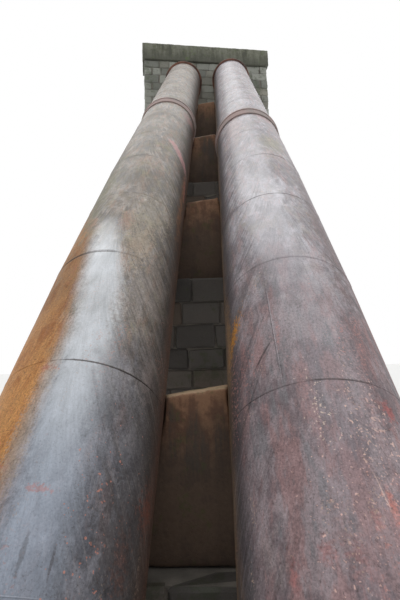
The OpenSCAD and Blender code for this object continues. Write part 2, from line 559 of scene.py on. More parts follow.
def join(pieces: Sequence[bpy.types.Object], name: str) -> bpy.types.Object:
    """Joins pieces into one.

    Args:
        pieces: The pieces, each with its place applied.
        name: The joined piece's name.

    Returns:
        The joined piece.
    """
    take(pieces[0])
    for piece in pieces:
        piece.select_set(True)
    bpy.ops.object.join()
    joined = bpy.context.object
    joined.name = name
    joined.data.name = name
    return joined


def hand_over(piece: bpy.types.Object, material: bpy.types.Material, slot: str,
              stands_for: Sequence[str] = ()) -> bpy.types.Object:
    """Gives a finished piece its material and its place on the frame.

    Args:
        piece: The finished piece.
        material: Its finish.
        slot: The record's material slot; not used.
        stands_for: CAD nodes that it replaces.

    Returns:
        The piece.
    """
    piece.data.materials.clear()
    piece.data.materials.append(material)
    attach(piece, "root")
    if stands_for:
        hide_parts(*stands_for)
    log.info("%s: %d faces", piece.name, len(piece.data.polygons))
    return piece


def copy_of(node: str, name: str) -> bpy.types.Object:
    """Makes a merged copy of a CAD node's mesh.

    Args:
        node: The CAD node.
        name: The copy's name.

    Returns:
        The copy, selected.
    """
    piece = add_object(name, frame["nodes"][node].data.copy())
    piece.data.name = name
    take(piece)
    with edit_mode():
        bpy.ops.mesh.remove_doubles(threshold=0.0001)
        bpy.ops.mesh.dissolve_limited(angle_limit=math.radians(1.0))
    return piece


# Pipes


@dataclass(frozen=True)
class Patch:
    """A stain, or a scatter of flakes, on a pipe.

    Attributes:
        station: Its middle along the pipe, in metres.
        angle: Its middle in degrees round the pipe from the crown, to the right looking uphill.
        long: Half its length, in metres.
        wide: Half its width, in degrees.
        colour: Its colour.
        strength: How much of the coat it hides.
        ragged: How torn its edge is.
        grain: How fine the tears are.
        slant: By how many degrees it turns round the pipe with each metre.
        cover: 1 fills the patch, and less leaves flakes.
        soft: How gently it fades at the edge.
        layers: How broken the edge is.
    """

    station: float
    angle: float
    long: float
    wide: float
    colour: Colour
    strength: float = 0.8
    ragged: float = 2.4
    grain: float = 34.0
    slant: float = 0.0
    cover: float = 1.0
    soft: float = 0.5
    layers: float = 4.0


def flecks(station: float, angle: float, long: float, wide: float, colour: Colour,
           strength: float, grain: float, cover: float, layers: float) -> Patch:
    """Scatters small hard-edged flecks over a patch.

    Args:
        station: Its middle along the pipe.
        angle: Its middle round the pipe.
        long: Half its length.
        wide: Half its width.
        colour: The flecks' colour.
        strength: How much of the coat they hide.
        grain: How fine they are.
        cover: How much of the patch they fill.
        layers: How broken their edges are.

    Returns:
        The patch.
    """
    return Patch(station, angle, long, wide, colour, strength, ragged=3.8, grain=grain,
                 cover=cover, soft=0.2, layers=layers)


@dataclass(frozen=True)
class SeamMark:
    """The stretch of one ring seam that shows dark.

    Attributes:
        station: The seam's place along the pipe.
        angle: The stretch's middle, in degrees from the crown.
        half: How far it reaches to both sides, in degrees.
        strength: How dark it is.
    """

    station: float
    angle: float
    half: float
    strength: float


class Weathering:
    """The patterns that a pipe's finish is painted with.

    Attributes:
        board: The material's board.
        place: The point on the pipe, as if it were rolled straight.
        grained: The same point, for patterns that are drawn out along the pipe.
        station: Metres along the pipe.
        angle: Degrees round it from the crown, to the right looking uphill.
        toward: The same, towards the other pipe.
        broad: Cloudy noise of about a metre, for whole areas.
        mottle: Noise of a hand's size.
        grain: Noise of a fingertip's size.
        dust: The finest noise.
        hairs: Thin scratches along the pipe.
        drips: Broad streaks along the lines of fall.
        fine_drips: Thin ones.
        strokes: Short, dense ones.
        flank_side: 0 on the crown and 1 on the flanks.
        jitter: How far an edge wanders, in degrees.
        seam: Metres to the nearest ring seam.
    """

    def __init__(self, board: Board, inner_sign: float, seam_lead: float) -> None:
        """Lays out the patterns on the pipe's own coordinates.

        Args:
            board: The material's board.
            inner_sign: 1 where the other pipe lies to the right, or -1.
            seam_lead: How far the ring seams lie below whole courses.
        """
        self.board = board
        self.place = board.attribute("pipe_place", "Vector")
        flow = board.attribute("flow", "Fac")
        self.station, across, up = board.split(self.place)
        self.angle = board.math("ARCTAN2", across, up) * math.degrees(1.0)
        self.toward = self.angle * inner_sign
        self.grained = board.stretch(self.place, (0.35, 1.4, 1.4))
        self.broad = board.noise(self.place, 1.3, 3.0)
        self.mottle = board.noise(board.stretch(self.place, (0.8, 1.6, 1.6)), 5.0, 6.0, 0.66, 0.6)
        self.grain = board.noise(self.place, 48.0, 5.0, 0.75)
        self.dust = board.noise(self.place, 85.0, 2.0, 0.5)
        self.hairs = board.noise(board.stretch(self.place, (1.0, 20.0, 20.0)), 3.4, 4.0, 0.75)
        self.drips = board.noise(board.join(flow * 6.5, self.station * 0.5, seam_lead), 1.0, 6.0,
                                 0.72)
        self.fine_drips = board.noise(board.join(flow * 21.0, self.station * 0.9, 2.0), 1.0, 4.0,
                                      0.7)
        self.strokes = board.noise(board.join(flow * 15.0, self.station * 2.2, 5.0), 1.0, 5.0, 0.62)
        self.flank_side = board.band(abs(self.angle), 14.0, 50.0)
        self.jitter = (self.mottle - 0.5) * 30.0
        course = (self.station + seam_lead) / Layout.course
        self.seam = abs(board.math("FRACT", course + 0.5) - 0.5) * Layout.course

    def flakes(self, scale: float, cut: float, cluster: float, spot: float) -> Wire:
        """Scattered flakes that gather in clusters.

        Args:
            scale: How fine the flakes are.
            cut: How few they are.
            cluster: How fine the clusters are.
            spot: Where in the clusters' noise this kind lies.

        Returns:
            Their mask.
        """
        board = self.board
        near = board.noise(board.stretch(self.place, (0.4, 1.4, 1.4)), cluster, 3.0, 0.6)
        lift = board.band(near + (spot - 0.5), 0.50, 0.70)
        chips = board.noise(self.place, scale, 2.0, 0.6)
        return board.band(chips + lift * 0.08, cut, cut + 0.03) * lift

    def stain(self, patch: Patch) -> Wire:
        """Lays out one patch.

        Args:
            patch: The patch.

        Returns:
            Its mask.
        """
        board = self.board
        off = self.station - patch.station
        turn = self.angle - patch.angle - off * patch.slant
        reach = ((off / patch.long) ** 2.0 + (turn / patch.wide) ** 2.0) ** 0.5
        broken = board.noise(self.place, patch.grain, patch.layers, 0.70) - 0.5
        broken = broken * patch.ragged * 2.0
        inside = board.band(patch.cover - reach + broken, 0.05, 0.05 + patch.soft)
        return inside * board.band(reach, 1.9, 1.1) * patch.strength

    def seam_line(self, marks: Sequence[SeamMark], faint: float) -> Wire:
        """The dirt in the ring seams: a faint broken line, dark at the marks.

        Args:
            marks: The stretches that show dark.
            faint: How much the line shows elsewhere.

        Returns:
            Its mask.
        """
        board = self.board
        line = board.band(self.seam + (self.grain - 0.5) * 0.014, 0.012, 0.004)
        shown = board.band(self.mottle, 0.44, 0.60) * faint
        for mark in marks:
            near = board.band(abs(self.station - mark.station), 0.30, 0.20)
            turn = abs(self.angle - mark.angle) + self.jitter * 0.5
            span = board.band(turn, mark.half + 7.0, mark.half - 7.0)
            shown = board.math("MAXIMUM", shown, near * span * mark.strength)
        return line * shown

    def wet_sheen(self, low: Wire, high: Wire, amount: Wire) -> Wire:
        """The wet film between two angles, frayed over a narrower band uphill; it also places the
        painted sky reflection.

        Args:
            low: The angle where it starts, towards the other pipe.
            high: The angle where it ends.
            amount: How wet it is.

        Returns:
            Its mask.
        """
        board = self.board
        past = self.toward + self.jitter * 0.6 + (self.grain - 0.5) * 10.0 - low
        soft = board.band(past, -11.0, 9.0)
        reach = board.blend(board.band(self.station, 5.9, 6.7), 15.0, 8.5)
        ragged = board.band((high - self.toward + (self.drips - 0.5) * 16.0) / reach, -0.8, 1.1)
        return soft * ragged * amount


@dataclass(frozen=True)
class PipeFinish:
    """Worn paint, rust, scale and wet on one pipe's steel, with painted shade and a painted sky
    reflection.

    The name is the record's material slot too. A curve holds stations and what the value is there,
    an angle in degrees or, for wet_sheen_amount, a share.

    Attributes:
        body: The lower coat's colour, with its lighter, redder and greyer parts.
        upper: The upper coat's, with its lighter, warmer, cooler and mossy parts.
        inner_shade_and_dirt: Painted shade on the flank towards the other pipe, and the dark of its
            drips and dashes.
        edge: The rusty rim below that flank.
        outer: The rusty flank away from the other pipe, with its deep and dull parts.
        seam_lead: How far the ring seams lie below whole courses.
        inner_sign: 1 where the other pipe lies to the right, or -1.
        inner_from: The angle where the painted shade towards the other pipe starts.
        inner_reach: Over how many degrees it deepens.
        outer_edge: The angle where the outer flank's rust starts.
        wet_sheen_from: The angle where the wet film and its painted sheen start.
        wet_sheen_to: The angle where they end.
        wet_sheen_amount: How wet and how bright it is.
        wet_sheen_colour: The film's colour low down, partly a painted sky reflection.
        wet_sheen_high: Its colour uphill, partly a painted sky reflection too.
        seams: The stretches of the ring seams that show dark.
        seam_faint: How much the rest of them shows.
        upper_from: The station where the upper coat starts.
        hued: How much redder and greyer parts show.
        flecked: How much pink and pale flecks do.
        scratched: How much scratches do.
        patches: The stains that are placed one by one.
    """

    name: str
    body: Colour
    body_light: Colour
    body_red: Colour
    body_grey: Colour
    upper: Colour
    upper_light: Colour
    upper_warm: Colour
    upper_cool: Colour
    moss: Colour
    inner_shade_and_dirt: Colour
    edge: Colour
    outer: Colour
    outer_deep: Colour
    outer_dull: Colour
    scratch: Colour
    fleck: Colour
    fleck_pale: Colour
    seam_lead: float
    inner_sign: float
    inner_from: float
    inner_reach: float
    outer_edge: Curve
    wet_sheen_from: Curve
    wet_sheen_to: Curve
    wet_sheen_amount: Curve
    seams: tuple[SeamMark, ...]
    wet_sheen_colour: Colour
    wet_sheen_high: Colour
    upper_from: float = 7.4
    seam_faint: float = 0.22
    hued: float = 0.6
    flecked: float = 1.0
    scratched: float = 0.35
    pit: Colour = (0.055, 0.036, 0.030)
    seam_dirt: Colour = (0.035, 0.026, 0.024)
    rust_spot: Colour = (0.17, 0.070, 0.035)
    rust_flake: Colour = (0.46, 0.140, 0.075)
    patches: tuple[Patch, ...] = ()

    def dress(self) -> bpy.types.Material:
        """Builds the material.

        Returns:
            The material.
        """
        material, board = Board.material(self.name)
        wear = Weathering(board, self.inner_sign, self.seam_lead)
        colour, outside = self.flanks(board, wear, self.paint(board, wear))
        # The wet film's mask sets a real gloss coat and also a painted sky reflection in the colour
        wet_sheen = wear.wet_sheen(board.curve(wear.station, self.wet_sheen_from, HALF_TURN),
                         board.curve(wear.station, self.wet_sheen_to, HALF_TURN),
                         board.curve(wear.station, self.wet_sheen_amount, 1.0))
        pink = wear.flakes(48.0, 0.645, 2.6, 0.50) * self.flecked * (1 - outside)
        pale = wear.flakes(60.0, 0.665, 3.4, 0.48) * self.flecked * (1 - outside)
        pits = board.band(board.noise(wear.place, 70.0, 3.0, 0.7), 0.60, 0.66)
        # Painted sky reflection on the wet film: a pale bluish colour along the crown, partly a
        # real mineral film
        wet = board.mix(board.band(wear.station, 4.6, 6.3), self.wet_sheen_colour, self.wet_sheen_high)
        colour = board.mix(wet_sheen * (0.95 - (wear.grain - 0.5) * 1.0), colour, wet)
        for patch in self.patches:
            colour = board.mix(wear.stain(patch), colour, patch.colour)
        colour = board.mix(pink * 0.75, colour, self.fleck)
        colour = board.mix(pale * 0.7, colour, self.fleck_pale)
        scratches = board.band(wear.hairs, 0.57, 0.72) * self.scratched
        colour = board.mix(scratches, colour, self.scratch)
        colour = board.mix(pits * (0.45 - wet_sheen * 0.25), colour, self.pit)
        dashes = board.noise(board.stretch(wear.place, (0.45, 1.6, 1.6)), 42.0, 2.0)
        dashes = board.band(dashes, 0.61, 0.68) * 0.30
        colour = board.mix(dashes * (1 - wet_sheen), colour, self.inner_shade_and_dirt)
        colour = board.mix(wear.seam_line(self.seams, self.seam_faint), colour, self.seam_dirt)
        relief = (wear.mottle * 0.4 + (wear.grain * 0.40 + wear.dust * 0.15) * (1 - wet_sheen * 0.5)
                  - pink * 0.25 - pits * 0.2)
        rough = board.blend(wet_sheen, 0.58 + (wear.mottle - 0.5) * 0.5, 0.30 + (wear.grain - 0.5) * 0.4)
        board.surface(Base_Color=board.tint(colour, self.shade(board, wear, wet_sheen)), Roughness=rough,
                      Metallic=0.0, Specular_IOR_Level=0.22, Coat_Weight=wet_sheen * 0.85 + 0.03,
                      Coat_Roughness=0.20, Normal=board.bump(relief, 0.005, 0.7))
        return material

    def shade(self, board: Board, wear: Weathering, wet_sheen: Wire) -> Wire:
        """The light and dark grain over all the colours, stronger uphill.

        Args:
            board: The board.
            wear: The patterns.
            wet_sheen: The mask of the wet film and its painted sky reflection.

        Returns:
            The factor on the colour.
        """
        fine = (wear.grain - 0.5) * 1.5 + (wear.dust - 0.5) * 0.8
        uphill = board.band(wear.station, 7.2, 9.0)
        return (1 + fine * (1 - wet_sheen * 0.6) + (wear.mottle - 0.5) * (uphill * 0.8 + 0.8)
                + (wear.hairs - 0.5) * 2.0 * self.scratched
                + (wear.strokes - 0.5) * (uphill * 0.6 + 0.45))

    def paint(self, board: Board, wear: Weathering) -> Wire:
        """The worn coat, greyer and mossier uphill.

        Args:
            board: The board.
            wear: The patterns.

        Returns:
            Its colour.
        """
        border = wear.station + (wear.broad - 0.5) * 2.0
        higher = board.band(border, self.upper_from, self.upper_from + 1.8)
        low = board.mix(board.band(wear.broad + (wear.mottle - 0.5) * 0.9, 0.40, 0.60), self.body,
                        self.body_light)
        worn = board.noise(wear.grained, 5.5, 6.0, 0.68)
        low = board.mix(board.band(worn, 0.50, 0.60) * self.hued, low, self.body_red)
        low = board.mix(board.band(worn, 0.47, 0.38) * self.hued, low, self.body_grey)
        streaky = wear.mottle * 0.45 + wear.strokes * 0.55 + (wear.broad - 0.5) * 0.5
        high = board.mix(board.band(streaky, 0.39, 0.61), self.upper, self.upper_light)
        tone = board.noise(wear.grained, 9.0, 5.0, 0.70)
        high = board.mix(board.band(tone, 0.52, 0.61) * 0.55, high, self.upper_warm)
        high = board.mix(board.band(tone, 0.48, 0.40) * 0.50, high, self.upper_cool)
        growth = board.noise(wear.place, 4.2, 5.0, 0.7) + (wear.strokes - 0.5) * 0.8
        green = board.band(growth, 0.53, 0.66)
        return board.mix(higher, low, board.mix(green * 0.7, high, self.moss))

    def flanks(self, board: Board, wear: Weathering, colour: Wire) -> tuple[Wire, Wire]:
        """The painted shade towards the other pipe with its drips, and the rusty outer flank.

        Args:
            board: The board.
            wear: The patterns.
            colour: The colour so far.

        Returns:
            The new colour and the outer flank's mask.
        """
        # Painted shade on the flank that faces the other pipe, where the pair shade each other
        flank = board.band(wear.toward + wear.jitter * 0.7, self.inner_from,
                           self.inner_from + self.inner_reach)
        colour = board.mix(flank * 0.9, colour, self.inner_shade_and_dirt)
        dark = board.band(wear.drips, 0.50, 0.62) * wear.flank_side
        colour = board.mix(dark * 0.55, colour, self.inner_shade_and_dirt)
        light = board.band(wear.fine_drips, 0.53, 0.66) * wear.flank_side
        colour = board.mix(light * 0.17, colour, self.upper_light)
        rim = board.band(wear.toward + wear.jitter, 66.0, 98.0)
        colour = board.mix(rim * (0.2 + wear.drips * 0.9), colour, self.edge)
        border = board.curve(wear.station, self.outer_edge, HALF_TURN)
        high = board.band(wear.station, 7.6, 9.5)
        wander = ((wear.broad - 0.5) * 90.0 + (wear.mottle - 0.5) * 60.0) * high
        across = border - wear.toward + wear.jitter * 0.7 + wander + (wear.hairs - 0.5) * 16.0
        outside = board.band(across / (high + 1.0), -8.0, 11.0)
        depth = wear.mottle + (wear.broad - 0.5) * 0.5 + (wear.drips - 0.5) * 0.4
        deep = board.band(depth, 0.40, 0.72)
        rust = board.mix(deep, self.outer, self.outer_deep)
        spots = board.band(board.noise(wear.place, 52.0, 4.0, 0.75), 0.585, 0.64)
        rust = board.mix(spots * 0.7, rust, self.rust_spot)
        darker = board.band(wear.station, 6.2, 7.1) * 0.40
        lighter = board.band(wear.station, 7.5, 8.2) * 0.2
        rust = board.tint(rust, 1 - darker + lighter)
        dull = board.band(wear.station + (wear.broad - 0.5) * 6.0, 8.2, 11.0) * 0.65
        rust = board.mix(dull, rust, self.outer_dull)
        rust = board.mix(wear.flakes(30.0, 0.60, 2.2, 0.50) * 0.7, rust, self.rust_flake)
        return board.mix(outside, colour, rust), outside


@dataclass(frozen=True)
class Stretch:
    """A straight stretch of pipe, and the CAD nodes that it stands for.

    The cuts are the slopes, in degrees, of the directions that its end planes face.
    """

    name: str
    station: float
    length: float
    slope: float
    cuts: tuple[float, float]
    nodes: tuple[str, ...]


@dataclass
class PipeLine:
    """One penstock pipe: its plate shells and the beads that join them.

    Attributes:
        lengthwise: Where round the pipe each course's weld lies, in degrees from the crown.
        sides: How many flat strips the round is made of.
        ring_pitch: Distance between the shell's rings of points.
        bead: Radius of a ring bead.
        ring_sink: How far a ring bead's middle lies below the plate's outside.
        strip_sink: The same for a lengthwise bead.
    """

    layout: Layout
    side: Side
    finish: PipeFinish
    lengthwise: tuple[float, ...]
    sides: int = 112
    ring_pitch: float = 0.25
    dent_size: float = 0.55
    dent_depth: float = 0.003
    bead: float = 0.0055
    ring_sink: float = 0.0045
    strip_sink: float = 0.004

    def build(self) -> None:
        """Makes every shell and bead of the pipe."""
        word = self.side.value
        material = self.finish.dress()
        dents = clouds(f"{word}_plate_dents", self.dent_size, 1)
        for stretch in self.stretches():
            piece = self.shell(stretch, dents)
            nodes = [f"{word}_{node}" for node in stretch.nodes]
            hand_over(piece, material, self.finish.name, nodes)
        hand_over(self.beads(), material, self.finish.name)

    def stretches(self) -> tuple[Stretch, ...]:
        """Divides the pipe where it turns and where it slips.

        Returns:
            Its stretches, from the lower end to the inlet behind the head wall.
        """
        layout, side, word = self.layout, self.side, self.side.value
        first, second = layout.bends(side)
        lower, middle, upper = layout.slopes
        first_cut, second_cut = (lower + middle) / 2, (middle + upper) / 2
        slip, collar, elbow = layout.slip_station(side), layout.collar_station, layout.elbow_station
        level_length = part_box(f"{word}_inlet_pipe")[1].y - layout.point(side, elbow).y
        return (
            Stretch("lower_shell", 0.0, first, lower, (lower, first_cut), ("lower_run",)),
            Stretch("middle_shell", first, second - first, middle, (first_cut, second_cut),
                    ("middle_run",)),
            Stretch("upper_shell", second, slip - second, upper, (second_cut, upper),
                    ("upper_run",)),
            Stretch("top_shell", slip, collar - slip, upper, (upper, upper),
                    ("top_run_1", "top_run_2", "top_run_3")),
            Stretch("bend_shell", collar, elbow - collar, upper, (upper, upper / 2),
                    ("bend_piece",)),
            Stretch("inlet_shell", elbow, level_length, 0.0, (upper / 2, 0.0), ("inlet_pipe",)),
        )

    def shell(self, stretch: Stretch, dents: bpy.types.Texture) -> bpy.types.Object:
        """Rolls one straight stretch of the pipe and cuts its ends.

        Args:
            stretch: The stretch.
            dents: The relief of the plate's dents.

        Returns:
            The shell, with its wall thickness and attributes.
        """
        layout, length = self.layout, stretch.length
        start = layout.point(self.side, stretch.station)
        heading = layout.heading(stretch.slope)
        # It is rolled a radius longer at both ends, so that slanting cuts stay on it
        over = layout.radius
        steps = math.ceil((length + 2 * over) / self.ring_pitch)
        clear_selection()
        bpy.ops.mesh.primitive_circle_add(vertices=self.sides, radius=layout.radius,
                                          fill_type="NOTHING", location=(0, 0, 0))
        piece = bpy.context.object
        piece.name = piece.data.name = f"{self.side.value}_{stretch.name}"
        with edit_mode():
            for _ in range(steps):
                bpy.ops.mesh.extrude_region_move(
                    TRANSFORM_OT_translate={"value": (0, 0, (length + 2 * over) / steps)})
        piece.rotation_euler = (math.radians(stretch.slope - 90), 0, 0)
        piece.location = start - heading * over
        apply_place(piece)
        ends = ((start, stretch.cuts[0], True), (start + heading * length, stretch.cuts[1], False))
        with edit_mode():
            bpy.ops.mesh.normals_make_consistent(inside=False)
            for place, cut, lower in ends:
                bpy.ops.mesh.select_all(action="SELECT")
                bpy.ops.mesh.bisect(plane_co=place, plane_no=layout.heading(cut),
                                    clear_inner=lower, clear_outer=not lower)
        modify(piece, "DISPLACE", texture=dents, texture_coords="LOCAL", mid_level=1.0,
               strength=self.dent_depth)
        modify(piece, "SOLIDIFY", thickness=layout.plate, offset=-1.0, use_even_offset=True)
        self.mark(piece, start, stretch.station, stretch.slope)
        smooth(piece)
        return piece

    def mark(self, piece: bpy.types.Object, start: Vector, station: float, slope: float) -> None:
        """Writes on each point where it lies along and round the pipe.

        The pipe_place attribute is the point on a pipe rolled straight. The flow attribute names
        the line of steepest fall that runs through it, for the drips.

        Args:
            piece: The piece to mark.
            start: A point on the pipe's axis.
            station: That point's station.
            slope: The slope of the axis there, in degrees.
        """
        layout = self.layout
        heading = np.array(layout.heading(slope))
        outward = np.array(layout.heading(slope + 90.0))
        off = points_of(piece) - np.array(start)
        along = off @ heading
        angle = np.arctan2(off[:, 0], off @ outward)
        place = np.stack([station + along, layout.radius * np.sin(angle),
                          layout.radius * np.cos(angle)], axis=1)
        turn = np.clip(np.abs(angle), 0.05, math.pi - 0.05) / 2
        flow = (station + along + layout.radius * math.tan(math.radians(slope))
                * np.log(np.tan(turn))) * np.sign(angle)
        write_attribute(piece.data, "pipe_place", place)
        write_attribute(piece.data, "flow", flow)

    def beads(self) -> bpy.types.Object:
        """Lays the ring beads and the lengthwise beads.

        Returns:
            All of them, as one piece.
        """
        layout, lead = self.layout, self.layout.lead(self.side)
        made = []
        for number in range(int((layout.collar_station + lead) / layout.course)):
            low, high = (layout.course * (number + ends) - lead for ends in (0, 1))
            if high < layout.collar_station:
                made.append(self.ring(high))
            made.append(self.strip(max(low, 0.0), high, self.lengthwise[number]))
        return join(made, f"{self.side.value}_weld_beads")

    def ring(self, station: float) -> bpy.types.Object:
        """Lays one ring bead.

        Args:
            station: Where it lies.

        Returns:
            The bead, marked.
        """
        layout, side = self.layout, self.side
        clear_selection()
        bpy.ops.mesh.primitive_torus_add(
            major_segments=self.sides, minor_segments=8,
            major_radius=layout.radius - self.ring_sink, minor_radius=self.bead,
            location=layout.point(side, station),
            rotation=(math.radians(layout.facing(side, station) - 90), 0, 0))
        return self.finish_bead(station)

    def strip(self, low: float, high: float, angle: float) -> bpy.types.Object:
        """Lays the lengthwise bead of one course.

        Args:
            low: Station of the course's lower end.
            high: Station of its upper end.
            angle: Where it lies round the pipe, in degrees from the crown.

        Returns:
            The bead, marked.
        """
        layout = self.layout
        middle = (low + high) / 2
        slope = layout.slope_at(self.side, middle)
        turn = math.radians(angle)
        outward = layout.heading(slope + 90.0) * math.cos(turn) + Vector((math.sin(turn), 0, 0))
        clear_selection()
        bpy.ops.mesh.primitive_cylinder_add(
            vertices=8, radius=self.bead * 0.9, depth=high - low,
            location=layout.point(self.side, middle) + outward * (layout.radius - self.strip_sink),
            rotation=(math.radians(slope - 90), 0, 0))
        with edit_mode():
            bpy.ops.mesh.bevel(offset=self.bead * 0.3, segments=1, affect="EDGES")
        return self.finish_bead(middle)

    def finish_bead(self, station: float) -> bpy.types.Object:
        """Applies the active bead's place and marks it.

        Args:
            station: Where its middle lies along the pipe.

        Returns:
            The bead.
        """
        piece = bpy.context.object
        apply_place(piece)
        self.mark(piece, self.layout.point(self.side, station), station,
                  self.layout.slope_at(self.side, station))
        bpy.ops.object.shade_smooth()
        return piece


# Joints


@dataclass(frozen=True)
class JointIron:
    """Dark red-brown rust of the flanges, sleeves and collars."""

    name: str = "rusty_joint_iron"
    fresh: Colour = (0.22, 0.095, 0.060)
    dark: Colour = (0.080, 0.042, 0.034)
    pale: Colour = (0.34, 0.25, 0.22)

    def dress(self) -> bpy.types.Material:
        """Builds the material.

        Returns:
            The material.
        """
        material, board = Board.material(self.name)
        place = board.place()
        broad = board.noise(place, 2.6, 4.0)
        scale = board.noise(place, 22.0, 5.0, 0.7)
        fine = board.noise(place, 90.0, 3.0, 0.7)
        rust = board.band(broad + (scale - 0.5) * 0.6, 0.38, 0.62)
        colour = board.mix(rust, self.dark, self.fresh)
        colour = board.mix(board.band(scale, 0.62, 0.70) * 0.5, colour, self.pale)
        colour = board.tint(colour, 0.8 + fine * 0.4)
        board.surface(Base_Color=colour, Roughness=0.68 + (scale - 0.5) * 0.4, Metallic=0.0,
                      Normal=board.bump(scale * 0.7 + fine * 0.3, 0.004, 0.8))
        return material


@dataclass
class Joints:
    """Flanges, slip sleeves and collars, with their edges broken."""

    edge: float = 0.004
    sharp: float = 50.0

    def build(self) -> None:
        """Makes the iron of both pipes."""
        rusty = JointIron().dress()
        painted = SLEEVE_PAINT.dress()
        for side in Side:
            for part in ("outlet_flange", "slip_sleeve", "wall_collar", "inlet_flange"):
                node = f"{side.value}_{part}"
                piece = copy_of(node, f"{node}_iron")
                modify(piece, "BEVEL", width=self.edge, segments=2, limit_method="ANGLE",
                       angle_limit=math.radians(self.sharp))
                smooth(piece, 35.0)
                material = painted if part == "slip_sleeve" else rusty
                hand_over(piece, material, "joint_iron", [node])


# Concrete


@dataclass(frozen=True)
class ConcreteFinish:
    """Old cast concrete with stains that run down it, darker towards the bottom, and a painted top
    light on faces that look up.
    """

    name: str
    body: Colour
    stain: Colour
    dark: Colour
    top: Colour
    moss: Colour
    moss_amount: float = 0.3

    def dress(self) -> bpy.types.Material:
        """Builds the material.

        Returns:
            The material.
        """
        material, board = Board.material(self.name)
        place = board.place()
        broad = board.noise(place, 1.7, 4.0)
        sand = board.noise(place, 34.0, 5.0, 0.72)
        pits = board.cells(place, 26.0)
        runs = board.noise(board.stretch(place, (7.0, 7.0, 0.7)), 1.0, 5.0, 0.66)
        blots = board.noise(place, 9.0, 6.0, 0.68)
        drop = board.attribute("drop", "Fac") + (runs - 0.5) * 0.9
        colour = board.mix(board.band(runs * 0.4 + blots * 0.6 + (broad - 0.5) * 0.5, 0.42, 0.58),
                           self.body, self.stain)
        colour = board.mix(board.band(drop, 0.05, 0.75) * 0.75, colour, self.dark)
        streaks = board.band(broad + (runs - 0.5) * 0.8, 0.56, 0.70)
        colour = board.mix(streaks * 0.8, colour, self.dark)
        # Faces that look up are painted lighter: a painted top light
        painted_top_light = board.band(board.upward() + (sand - 0.5) * 0.5, 0.45, 0.85)
        colour = board.mix(painted_top_light * 0.8, colour, self.top)
        moss = board.band(board.noise(place, 5.0, 5.0, 0.7) + board.upward() * 0.06, 0.56, 0.66)
        colour = board.mix(moss * self.moss_amount, colour, self.moss)
        colour = board.tint(colour, 0.40 + sand * 0.80 + blots * 0.40)
        relief = sand * 0.5 + board.band(pits, 0.0, 0.25) * 0.3 + broad * 0.4
        board.surface(Base_Color=colour, Roughness=0.82 + (sand - 0.5) * 0.2, Metallic=0.0,
                      Normal=board.bump(relief, 0.010, 0.8))
        return material


@dataclass
class Casting:
    """A cast concrete block with worn faces and edges."""

    node: str
    material: bpy.types.Material
    slot: str
    voxel: float = 0.032
    wear: float = 0.020

    def build(self, relief: bpy.types.Texture) -> bpy.types.Object:
        """Casts the block.

        Args:
            relief: The texture of its wear.

        Returns:
            The finished piece.
        """
        piece = copy_of(self.node, f"{self.node}_casting")
        modify(piece, "REMESH", mode="VOXEL", voxel_size=self.voxel)
        modify(piece, "SMOOTH", factor=0.5, iterations=2)
        modify(piece, "DISPLACE", texture=relief, texture_coords="LOCAL", mid_level=1.0,
               strength=self.wear)
        smooth(piece, 60.0)
        heights = points_of(piece)[:, 2]
        write_attribute(piece.data, "drop", heights.max() - heights)
        return hand_over(piece, self.material, self.slot, [self.node])


# Masonry


@dataclass(frozen=True)
class StoneFinish:
    """Rough squared stone, dark with wet, each stone in its own tone."""

    name: str
    dark: Colour
    light: Colour
    warm: Colour
    moss: Colour

    def dress(self) -> bpy.types.Material:
        """Builds the material.

        Returns:
            The material.
        """
        material, board = Board.material(self.name)
        place = board.place()
        tone = board.attribute("tone", "Fac")
        broad = board.noise(place, 0.7, 3.0)
        lumps = board.noise(place, 7.0, 5.0, 0.7)
        grit = board.noise(place, 60.0, 4.0, 0.7)
        colour = board.mix(tone * 0.7 + lumps * 0.3, self.dark, self.light)
        warm = board.band(board.math("FRACT", tone * 7.3), 0.6, 1.0)
        colour = board.mix(warm * 0.6, colour, self.warm)
        colour = board.mix(board.band(lumps + (broad - 0.5), 0.52, 0.70) * 0.55, colour, self.moss)
        wet = board.band(broad + (lumps - 0.5) * 0.3, 0.50, 0.66)
        colour = board.tint(colour, (0.74 + grit * 0.52) * (1 - wet * 0.35))
        board.surface(Base_Color=colour, Roughness=board.blend(wet, 0.86, 0.52), Metallic=0.0,
                      Normal=board.bump(lumps * 0.6 + grit * 0.3, 0.016, 0.9))
        return material


@dataclass(frozen=True)
class MortarFinish:
    """Pale, sandy lime mortar between the stones."""

    body: Colour = (0.25, 0.230, 0.200)
    dirt: Colour = (0.13, 0.120, 0.105)

    def dress(self) -> bpy.types.Material:
        """Builds the material.

        Returns:
            The material.
        """
        material, board = Board.material("lime_mortar")
        place = board.place()
        broad = board.noise(place, 1.4, 4.0)
        sand = board.noise(place, 70.0, 4.0, 0.7)
        colour = board.mix(board.band(broad, 0.42, 0.66), self.body, self.dirt)
        colour = board.tint(colour, 0.75 + sand * 0.5)
        board.surface(Base_Color=colour, Roughness=0.92, Metallic=0.0,
                      Normal=board.bump(sand, 0.006, 0.8))
        return material


Shape = tuple[np.ndarray, list[list[int]]]
Placed = tuple[Triple, Triple, float]


